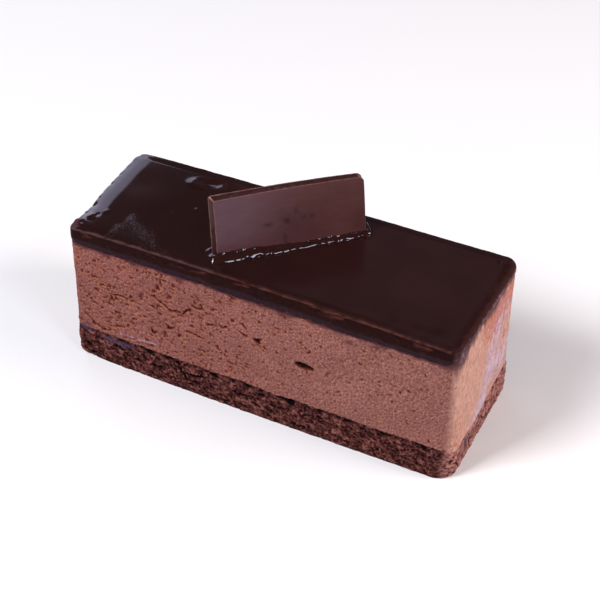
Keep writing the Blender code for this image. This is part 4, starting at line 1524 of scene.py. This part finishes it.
@dataclass
class GlazeLayer:
    """The poured glaze: a mirror on top, rolled over at the left end, and cut at the others."""

    plan: BarPlan
    seams: Seams
    top_finish: MirrorGlaze = MirrorGlaze()
    cut_finish: CutGlaze = CutGlaze()
    crowding: float = 0.5
    lip_height: float = 0.11 * MM
    lip_reach: float = 0.62 * MM
    bulge: float = 0.16 * MM
    tuck: float = 0.18 * MM
    end_swell: float = 0.25 * MM
    uneven: tuple = ((0.10 * MM, 2.4 * MM), (0.05 * MM, 0.9 * MM))
    ring_place: tuple[float, float] = (-28.0 * MM, 12.6 * MM)
    ring_size: tuple[float, float] = (3.8 * MM, 2.1 * MM)
    ring_tilt: float = math.radians(14)
    ring_thin_side: float = math.radians(40)
    blobs: tuple = ((-47.4, -11.6, 1.0, 0.35), (-45.9, -10.2, 0.5, -0.2), (-48.9, -14.2, 1.1, 0.4),
                    (-47.6, -15.6, 0.5, 0.2), (-49.5, -9.6, 0.5, 0.3), (-44.6, -8.2, 0.5, 0.12),
                    (-49.6, 7.4, 0.5, -0.22), (-49.6, 3.2, 0.55, -0.26), (-49.7, -0.4, 0.45, -0.2),
                    (-49.5, -3.2, 0.5, -0.24), (-49.2, -6.2, 0.6, -0.28),
                    (46.2, 15.4, 0.6, -0.2), (48.4, 14.6, 0.7, -0.25),
                    (49.0, 10.0, 0.6, -0.2), (47.8, 12.6, 0.4, 0.12), (-25.5, 2.0, 0.35, 0.08),
                    (33.0, -15.4, 1.8, -0.16), (38.5, -15.0, 2.2, -0.24), (43.4, -14.6, 2.4, -0.26),
                    (-22.0, 5.5, 0.3, 0.08), (-30.0, -2.0, 0.3, 0.06))
    frost_patch: tuple = ((-41.2, -18.2), (-38.6, -3.8), (-18.5, -18.2))

    def crowd(self, value: np.ndarray, length: float) -> np.ndarray:
        """Moves grid lines closer together towards both edges, where the detail is."""
        share = 2.0 * value / length
        return value + length / 2 * self.crowding * np.sin(math.pi * share) / math.pi

    def build(self) -> bpy.types.Object:
        """Models and dresses the glaze.

        Returns:
            The finished piece.
        """
        plan = self.plan
        blank = BarBlank("mirror_glaze", plan, front=320, back=320, ends=120, rows=16,
                         open_top=True)
        piece = blank.build()
        straight = read_points(piece)
        straight[:, 0] = self.crowd(straight[:, 0], plan.length)
        straight[:, 1] = self.crowd(straight[:, 1], plan.width)
        x, y, part = straight[:, 0], straight[:, 1], straight[:, 2] / plan.height
        floor = self.seams.glaze_line(x, y) + self.seams.closed / 2
        top = plan.glaze_roof(x, y) + self.top_relief(x, y)
        placed = plan.in_plan(x, y, mix(floor, top, part))
        write_points(piece, placed)
        relief = WallRelief(plan, straight, placed)
        wall = relief.on_walls()
        out = outward(piece)
        swell = self.bulge * np.sin(math.pi * np.clip(part, 0.0, 1.0)) ** 0.7
        rough = np.zeros(len(placed))
        rough[wall] = ripples(placed[wall], *self.uneven)
        drag = ease((out[:, 0] - 0.25) / 0.5) * wall
        tuck = self.tuck * np.maximum(0.0, 1.0 - part / 0.18) ** 2 * (1.0 - drag)
        moved = (swell + rough - tuck + self.end_swell * np.maximum(out[:, 0], 0.0)) * wall
        write_points(piece, placed + out * moved[:, None] + np.array(PLAN_SHIFT))
        write_attribute(piece, "band", part)
        write_attribute(piece, "drag", drag * mix(0.9, 0.25, ease((part - 0.5) / 0.5)))
        write_attribute(piece, "thin", self.thin(x, y, part))
        write_attribute(piece, "frost", self.frost(x, y, part))
        piece.data.materials.append(self.top_finish.material())
        piece.data.materials.append(self.cut_finish.material())
        self.dress_cut(piece, wall & (x > 0.01 * MM - plan.length / 2))
        finish_piece(piece, Solid.GLAZE, 75.0)
        return piece

    def dress_cut(self, piece: bpy.types.Object, cut: np.ndarray) -> None:
        """Gives the walls that the knife cut their own finish.

        Args:
            piece: the glaze.
            cut: whether each point lies on such a wall.
        """
        faces = piece.data.polygons
        slots = [int(all(cut[v] for v in face.vertices) and abs(face.normal.z) < 0.8)
                 for face in faces]
        faces.foreach_set("material_index", slots)
        piece.data.update()

    def lip(self, x: np.ndarray, y: np.ndarray) -> np.ndarray:
        """1 on the thin bumpy rim that the knife raised along the cut edges, else 0."""
        flat = rows(x)
        coarse, small = ripple(flat, 2.3 * MM), ripple(flat, 0.8 * MM)
        wander = mix(0.16, 0.22, ease((x - 5.0 * MM) / (15.0 * MM))) * MM
        front = y + self.plan.width / 2 - wander * (1.0 + 1.3 * coarse - small)
        rim = hump(front / self.lip_reach)
        bumps = 0.75 + 0.7 * ripple(flat, 3.7 * MM) + 0.4 * small
        left, right = x + self.plan.length / 2, self.plan.length / 2 - x
        return rim * np.clip(bumps, 0.1, 1.5) * ease(left / (4.0 * MM)) * ease(right / (2.5 * MM))

    def top_relief(self, x: np.ndarray, y: np.ndarray) -> np.ndarray:
        """Height of the small waves, rings and specks on the glaze."""
        flat = rows(x, y)
        waves = mix(0.05, 0.2, ease(x / (20.0 * MM))) * MM * ripple(flat, 11.0 * MM)
        aside, deep = x - self.ring_place[0], y - self.ring_place[1]
        reach = oval(aside, deep, self.ring_size, self.ring_tilt)
        turn = np.cos(np.arctan2(deep, aside) - self.ring_thin_side)
        thick = 0.5 - 0.5 * turn
        ring = mix(0.14, 0.22, thick) * MM * hump((reach - 1.0) / mix(0.13, 0.27, thick))
        ring = ring * (0.45 + 0.55 * np.abs(turn))
        ring = ring - 0.12 * MM * hump(reach / 0.7)
        return waves + ring + self.lip_height * self.lip(x, y) + self.edge_relief(x, y)

    def edge_relief(self, x: np.ndarray, y: np.ndarray) -> np.ndarray:
        """Height of the nicks along the left and right edges, and of the blobs by the corner."""
        flat = rows(x, y)
        left, right = x + self.plan.length / 2, self.plan.length / 2 - x
        nicks = 0.12 * MM * ripple(flat, (3.0 * MM, 1.5 * MM, MM)) * hump(left / (1.1 * MM))
        torn = 0.3 * MM * ripple(flat, 1.3 * MM) * hump(right / (1.3 * MM))
        blobs = np.zeros_like(x)
        for at_x, at_y, size, height in self.blobs:
            away = np.hypot(x - at_x * MM, y - at_y * MM)
            blobs += height * MM * hump(away / (size * MM))
        return nicks + torn + blobs

    def thin(self, x: np.ndarray, y: np.ndarray, part: np.ndarray) -> np.ndarray:
        """Where the glaze is so thin that light gets through."""
        right = self.plan.length / 2 - x
        flat = rows(x, y)
        lip = np.clip(0.95 * self.lip(x, y) * (0.95 + 1.2 * ripple(flat, 1.3 * MM)), 0.0, 1.0)
        ragged = 0.5 * MM * (1.0 + ripple(flat, 1.5 * MM))
        end = 0.35 * (1.0 - ease(right / (0.9 * MM + ragged)))
        left = x + self.plan.length / 2
        red = 0.8 * hump(left / (1.4 * MM)) * ease((-11.0 * MM - y) / (2.0 * MM))
        return np.where(part > 0.55, np.maximum(np.maximum(lip, end), red), 0.0)

    def frost(self, x: np.ndarray, y: np.ndarray, part: np.ndarray) -> np.ndarray:
        """Where the glaze is misted over: in a patch with three sides, fading to its right."""
        flat = rows(x, y)
        sides = []
        corners = np.array(self.frost_patch) * MM
        for start, end in zip(corners, np.roll(corners, -1, axis=0)):
            way = (end - start) / np.hypot(*(end - start))
            sides.append((x - start[0]) * way[1] - (y - start[1]) * way[0])
        ragged = ripples(flat, (1.3 * MM, 3.2 * MM), (0.7 * MM, 1.1 * MM))
        left, right, front = (side + ragged for side in sides)
        fade = 0.15 + 0.5 * hump(left / (1.6 * MM)) + 0.22 * hump((right - 3.0 * MM) / (2.0 * MM))
        veil = ease(left / (1.2 * MM)) * ease(front / (2.0 * MM)) * ease(right / (3.0 * MM))
        return veil * fade * (part > 0.99)


# ---------------------------------------------------------------- plaque and bead


@dataclass(frozen=True)
class PlaqueStand:
    """Where the plaque stands in the glaze: the foot line of its front face, turned and leaning."""

    plan: BarPlan
    foot: tuple[float, float] = (0.8 * MM, -0.5 * MM)
    yaw: float = math.radians(41.7)
    lean: float = math.radians(10.9)

    def matrix(self) -> Matrix:
        """Leads from the plaque's own frame, with its foot at zero height, to the bar's."""
        x, y = np.array([self.foot[0]]), np.array([self.foot[1]])
        foot = Vector((*self.foot, float(self.plan.glaze_roof(x, y)[0]))) + PLAN_SHIFT
        turned = Matrix.Rotation(self.yaw, 4, "Z") @ Matrix.Rotation(-self.lean, 4, "X")
        return Matrix.Translation(foot) @ turned


@dataclass
class Plaque:
    """The upright chocolate plaque, with thin rims along its edges and a groove between them."""

    stand: PlaqueStand
    finish: TemperedChocolate = TemperedChocolate()
    width: float = 36.2 * MM
    shift: float = 0.1 * MM
    thickness: float = 2.2 * MM
    shown: float = 14.9 * MM
    sunk: float = 1.5 * MM
    corners: tuple[float, float] = (0.5 * MM, 1.4 * MM)
    rim: float = 0.14 * MM
    groove: tuple[float, float] = (0.16 * MM, 0.13 * MM)
    bend: float = 0.25 * MM
    top_bow: float = 0.2 * MM
    left_splay: float = 0.9 * MM
    top_splay: tuple[float, float] = (0.6 * MM, 0.15 * MM)
    grid: float = 0.35 * MM
    dents: tuple = ((0.035 * MM, 5.0 * MM), (0.012 * MM, 1.6 * MM))
    chips: tuple[float, float] = (0.05 * MM, 0.9 * MM)
    rubbing: tuple = ((0.8, 1.5 * MM), (0.3, 0.6 * MM))
    scuffs: tuple = ((-5.5, 6.4, 1.4, 0.6), (-1.0, 6.8, 1.1, 1.0), (1.6, 8.6, 0.8, 1.2),
                     (4.0, 6.9, 1.6, 0.5), (-1.6, 1.9, 0.5, 1.1))

    def build(self) -> bpy.types.Object:
        """Models and dresses the plaque.

        Returns:
            The finished piece.
        """
        height = self.shown + self.sunk
        centre = (0.0, self.thickness / 2, height / 2 - self.sunk)
        piece = start_cube("chocolate_plaque", (self.width, self.thickness, height), centre)
        top = self.shown
        for side, radius in zip((-1.0, 1.0), self.corners):
            choose(piece, Pick.EDGE, lambda e, s=side: all(v.co.z > top - MM and v.co.x * s > 0.0
                                                           for v in e.verts)
                   and abs(e.verts[0].co.y - e.verts[1].co.y) > self.thickness / 2)
            bpy.ops.mesh.bevel(offset=radius, offset_type="OFFSET", segments=8, profile=0.5,
                               affect="EDGES")
        choose(piece, Pick.EDGE, lambda e: sum(abs(f.normal.y) > 0.9 for f in e.link_faces) == 1)
        bpy.ops.mesh.bevel(offset=self.rim, offset_type="OFFSET", segments=2, profile=0.5,
                           affect="EDGES")
        choose(piece, Pick.FACE, lambda f: abs(f.normal.y) < 0.2 and f.normal.z > -0.5)
        bpy.ops.mesh.inset(thickness=self.groove[0], depth=-self.groove[1], use_even_offset=True)
        self.cut_grid(piece, 0, self.width)
        self.cut_grid(piece, 2, height)
        bpy.ops.object.mode_set(mode="OBJECT")
        self.wear(piece)
        piece.matrix_world = self.stand.matrix()
        deselect_all()
        piece.select_set(True)
        bpy.ops.object.transform_apply(location=True, rotation=True, scale=True)
        piece.data.materials.append(self.finish.material())
        finish_piece(piece, Solid.PLAQUE, 40.0)
        return piece

    def cut_grid(self, piece: bpy.types.Object, axis: int, length: float) -> None:
        """Cuts the slab across one axis, so that its faces can bend and take dents.

        Args:
            piece: the slab, in edit mode.
            axis: 0 for X and 2 for Z.
            length: its length along the axis.
        """
        normal = [0.0, 0.0, 0.0]
        normal[axis] = 1.0
        low = -length / 2 if axis == 0 else -self.sunk
        for i in range(1, round(length / self.grid)):
            place = [0.0, 0.0, 0.0]
            place[axis] = low + i * self.grid + 0.01 * MM
            bpy.ops.mesh.select_all(action="SELECT")
            bpy.ops.mesh.bisect(plane_co=place, plane_no=normal)

    def wear(self, piece: bpy.types.Object) -> None:
        """Bends and splays the slab, and works out where it is rubbed, dull or dark, and where
        sheen is painted.

        Args:
            piece: the slab, still upright at the origin.
        """
        points, normals = read_points(piece), read_normals(piece)
        x, y, z = points.T
        along, up, deep = 2.0 * x / self.width, np.maximum(z, 0.0) / self.shown, y / self.thickness
        face = np.abs(normals[:, 1]) > 0.9
        edge = np.minimum(self.width / 2 - np.abs(x), self.shown - z)
        side = (edge < 0.9 * self.rim + 0.02 * MM)
        middle = np.abs(deep - 0.5) < 0.5 - (self.rim + 0.5 * self.groove[0]) / self.thickness
        # The grooves' bottoms along the top and sides get painted shade
        core_shade = side & middle
        rim = np.where(~face & ~core_shade, 1.0, 0.0)
        rim *= np.clip(ripples(points, *self.rubbing, base=0.6), 0.1, 1.0)
        # Painted sheen over the front face's upper left
        painted_sheen = ease((0.35 - along) / 1.1) * ease((up + 0.35) / 0.8) * (y < self.thickness / 2)
        dents = ripples(points, *self.dents) + ripples(points, self.chips) * rim
        moved = points + normals * dents[:, None]
        near_left = np.maximum(0.0, 1.0 - (x + self.width / 2) / self.corners[1])
        near_top = np.maximum(0.0, 1.0 - (self.shown - z) / self.corners[1])
        arch = (1.0 - along * along) * up
        moved[:, 0] -= self.left_splay * deep * near_left
        moved[:, 1] += self.bend * arch
        splay = mix(*self.top_splay, along / 2 + 0.5)
        moved[:, 2] += self.top_bow * arch + splay * deep * near_top
        moved[:, 0] += self.shift
        write_points(piece, moved)
        scuff = np.zeros(len(x))
        for at_x, at_z, half_x, half_z in self.scuffs:
            away = np.hypot((x / MM - at_x) / half_x, (z / MM - at_z) / half_z)
            scuff = np.maximum(scuff, hump(away))
        scuff *= 0.75 * np.clip(0.5 + ripple(points, 1.2 * MM), 0.0, 1.0)
        rubbed = hump(np.hypot(x / (7.5 * MM), (z - 7.0 * MM) / (5.0 * MM)))
        scuff += 0.22 * rubbed * (1.0 + 0.6 * ripple(points, (4.0 * MM, MM, MM)))
        write_attribute(piece, "scuff", scuff * (y < 0.1 * MM))
        write_attribute(piece, "rim", np.clip(rim, 0.0, 1.0))
        write_attribute(piece, "core_shade", core_shade * 0.85)
        write_attribute(piece, "painted_sheen", np.clip(painted_sheen, 0.0, 1.0))


@dataclass
class Bead:
    """The uneven bead of chocolate that the plaque squeezed out round its foot."""

    stand: PlaqueStand
    plaque: Plaque
    finish: SetChocolate = SetChocolate()
    around: int = 460
    across: int = 32
    tube: float = 1.2 * MM
    soft: float = 1.2 * MM
    tucked: float = 0.12 * MM
    buried: float = 0.7 * MM
    reach: tuple = ((-18.0, 2.5), (-12.9, 2.6), (-7.5, 2.65), (-2.7, 2.7), (6.2, 2.2),
                    (12.4, 2.0), (18.0, 1.7))
    rise: tuple = ((-18.0, 1.2), (-11.5, 1.3), (-3.2, 0.85), (3.4, 0.45), (9.8, 0.65),
                   (18.0, 0.85))
    crest: tuple = ((-18.0, 0.12), (-12.6, 0.15), (-10.8, 0.38), (-5.0, 0.4), (-1.0, 0.52),
                    (6.0, 0.52), (10.0, 0.4), (18.0, 0.36))
    lumps: tuple[float, float] = (0.15 * MM, 1.3 * MM)
    pearls: tuple[float, float] = (0.06 * MM, 0.5 * MM)
    beading: tuple[float, float] = (0.85 * MM, 0.62 * MM)
    facet_place: tuple[float, float] = (-13.9 * MM, -12.4 * MM)
    facet_size: tuple[float, float] = (1.9 * MM, 1.0 * MM)
    facet_slope: float = 0.41
    facet_rise: float = 0.62 * MM
    facet_turn: float = math.radians(116)

    def build(self) -> bpy.types.Object:
        """Models and dresses the bead.

        Returns:
            The finished piece.
        """
        deselect_all()
        radius = self.plaque.width / 2
        bpy.ops.mesh.primitive_torus_add(major_segments=self.around, minor_segments=self.across,
                                         major_radius=radius, minor_radius=self.tube)
        piece = bpy.context.active_object
        piece.name = piece.data.name = "plaque_bead"
        points = read_points(piece)
        turn = np.arctan2(points[:, 1], points[:, 0])
        inner = np.hypot(points[:, 0], points[:, 1]) - radius
        section = np.arctan2(points[:, 2], inner)
        points, flat = self.flatten(self.wrap(turn, section))
        write_points(piece, points)
        normals = read_normals(piece)
        points = read_points(piece)
        above = ease((points[:, 2] - self.floor(points) + 0.2 * MM) / (0.3 * MM))
        foot, out = self.unwrap(points)
        calm = (1.0 - 0.92 * hump((foot - 2.6 * MM) / (3.2 * MM))) * (1.0 - flat)
        calm *= mix(0.3, 1.0, ease((foot + 14.0 * MM) / (3.0 * MM)))
        moved = ripples(points, self.lumps, self.pearls) * calm
        # A row of small beads stands close along the plaque
        beads = np.clip(0.25 + 1.6 * ripple(points, self.beading[1]), 0.0, 0.6)
        moved += self.beading[0] * beads * hump((out - 0.4 * MM) / (0.28 * MM))
        write_points(piece, points + normals * (moved * above)[:, None])
        piece.data.materials.append(self.finish.material())
        finish_piece(piece, Solid.GLAZE, 80.0)
        return piece

    def flatten(self, points: np.ndarray) -> tuple[np.ndarray, np.ndarray]:
        """Lays a small sloping flat on the bead's left end, which mirrors the window.

        Args:
            points: rows of x, y, z in the bar's frame.

        Returns:
            The new rows, and how far each point was laid flat, from 0 to 1.
        """
        aside = points[:, 0] - self.facet_place[0]
        deep = points[:, 1] - self.facet_place[1]
        away = oval(aside, deep, self.facet_size, self.facet_turn)
        floor = self.floor(points)
        flat = hump(away ** 2) * (points[:, 2] > floor)
        laid = points.copy()
        laid[:, 2] = mix(points[:, 2], floor + self.facet_rise + self.facet_slope * aside, flat)
        return laid, flat

    def unwrap(self, points: np.ndarray) -> tuple[np.ndarray, np.ndarray]:
        """Where each point lies along the plaque, and how far out in front of its face."""
        back = np.array(self.stand.matrix().inverted())
        along, deep, _, _ = (np.column_stack([points, np.ones(len(points))]) @ back.T).T
        thickness = self.plaque.thickness
        return along, np.where(deep < thickness / 2, -deep, deep - thickness)

    def floor(self, points: np.ndarray) -> np.ndarray:
        """Height of the glaze under each point."""
        return self.stand.plan.glaze_roof(points[:, 0] - PLAN_SHIFT.x, points[:, 1])

    def wrap(self, turn: np.ndarray, section: np.ndarray) -> np.ndarray:
        """Lays the ring round the plaque's foot, with the section of a fillet that slumped.

        Args:
            turn: each point's angle round the ring.
            section: its angle round the tube, 0 outermost and a quarter turn on top.

        Returns:
            Rows of x, y, z in the bar's frame.
        """
        half_x, half_y = self.plaque.width / 2, self.plaque.thickness / 2
        # The foot line starts in the middle of the right edge, and goes round by the back
        ends = np.cumsum([0.0, half_y, 2.0 * half_x, 2.0 * half_y, 2.0 * half_x, half_y])
        run = (turn / (2.0 * math.pi) % 1.0) * 4.0 * (half_x + half_y)
        foot_x = np.interp(run, ends, [half_x, half_x, -half_x, -half_x, half_x, half_x])
        foot_y = np.interp(run, ends, [0.0, half_y, half_y, -half_y, -half_y, 0.0])
        lean_x, lean_y = (np.sign(foot) * ease((np.abs(foot) - half + self.soft) / self.soft)
                          for foot, half in ((foot_x, half_x), (foot_y, half_y)))
        length = np.maximum(np.hypot(lean_x, lean_y), 1e-6)
        reach, rise, crest = (np.interp(foot_x / MM, *zip(*line)) * MM
                              for line in (self.reach, self.rise, self.crest))
        out = reach * (0.5 + 0.5 * np.cos(section)) - self.tucked
        share = np.clip(out / reach, 0.0, 1.0)
        top = rise * (1.0 - share ** 1.5) ** 0.8 + crest * np.sin(math.pi * share ** 1.8)
        lift = np.where(np.sin(section) >= 0.0, top, -self.buried * np.abs(np.sin(section)) ** 0.5)
        local = np.column_stack([foot_x + lean_x / length * out,
                                 half_y + foot_y + lean_y / length * out,
                                 np.zeros_like(out), np.ones_like(out)])
        placed = (local @ np.array(self.stand.matrix()).T)[:, :3]
        placed[:, 2] = self.floor(placed) + lift
        return placed


# ---------------------------------------------------------------- studio


@dataclass(frozen=True)
class SoftBox:
    """One soft studio light, aimed at the cake."""

    name: str
    azimuth: float
    elevation: float
    distance: float
    size: tuple[float, float]
    power: float
    tint: str

    def build(self, target: Vector) -> None:
        """Hangs the light, facing the target."""
        way = direction(self.azimuth, self.elevation)
        bpy.ops.object.light_add(type="AREA", location=target + way * self.distance)
        light = bpy.context.active_object
        light.name = light.data.name = self.name
        light.rotation_euler = way.to_track_quat("Z", "Y").to_euler()
        light.data.shape = "RECTANGLE"
        light.data.size, light.data.size_y = self.size
        light.data.energy = self.power
        light.data.color = linear(self.tint)[:3]


@dataclass
class Studio:
    """The pale floor, the soft lights and the camera at the photograph's angle."""

    finish: StudioPaper = StudioPaper()
    floor_size: float = 4.0
    target: Vector = field(
        default_factory=lambda: Vector((2.61 * MM, 0.0, 23.98 * MM)) + PLAN_SHIFT)
    azimuth: float = 26.319
    elevation: float = 40.640
    distance: float = 496.69 * MM
    lens: float = 124.01
    sky: str = "48474c"
    boxes: tuple[SoftBox, ...] = (
        SoftBox("Key", 104.0, 27.0, 0.62, (0.30, 0.26), 3.2, "fff3ea"),
        SoftBox("Fill", -36.0, 46.0, 0.85, (0.34, 0.34), 8.6, "fdfcff"),
        SoftBox("Spark", 59.0, 47.0, 0.6, (0.13, 0.13), 0.62, "dfe6ff"),
        SoftBox("Window", -134.0, 16.0, 0.7, (0.30, 0.46), 0.98, "dcdcff"),
        SoftBox("Sheen", -164.0, 40.0, 0.8, (0.31, 0.34), 0.055, "ffc4dc"),
    )

    def build(self) -> None:
        """Lays the floor, hangs the lights and sets up the camera."""
        deselect_all()
        bpy.ops.mesh.primitive_plane_add(size=self.floor_size)
        floor = bpy.context.active_object
        floor.name = floor.data.name = "studio_floor"
        floor.data.materials.append(self.finish.material())
        for box in self.boxes:
            box.build(self.target)
        self.light_sky()
        self.add_camera()
        bpy.context.scene.view_settings.view_transform = "Standard"

    def light_sky(self) -> None:
        """Gives the room a dim even light."""
        world = bpy.data.worlds.new("Dim_room")
        world.use_nodes = True
        world.node_tree.nodes["Background"].inputs["Color"].default_value = linear(self.sky)
        bpy.context.scene.world = world

    def add_camera(self) -> None:
        """Puts the camera where the photograph was taken from."""
        back = direction(self.azimuth, self.elevation)
        bpy.ops.object.camera_add(location=self.target + back * self.distance)
        camera = bpy.context.active_object
        camera.name = camera.data.name = "Photo_camera"
        camera.rotation_euler = back.to_track_quat("Z", "Y").to_euler()
        camera.data.lens = self.lens
        camera.data.sensor_width = 36.0
        camera.data.clip_start = 0.01
        camera.data.dof.use_dof = False
        bpy.context.scene.camera = camera


def main() -> None:
    """Builds the cake's pieces in order, and the studio round them."""
    logging.basicConfig(level=logging.INFO, format="%(message)s")
    plan = BarPlan()
    seams = Seams(plan)
    SpongeBase(plan, seams).build()
    MousseLayer(plan, seams).build()
    GlazeLayer(plan, seams).build()
    stand = PlaqueStand(plan)
    plaque = Plaque(stand)
    plaque.build()
    Bead(stand, plaque).build()
    Studio().build()


if __name__ == "__main__":
    main()
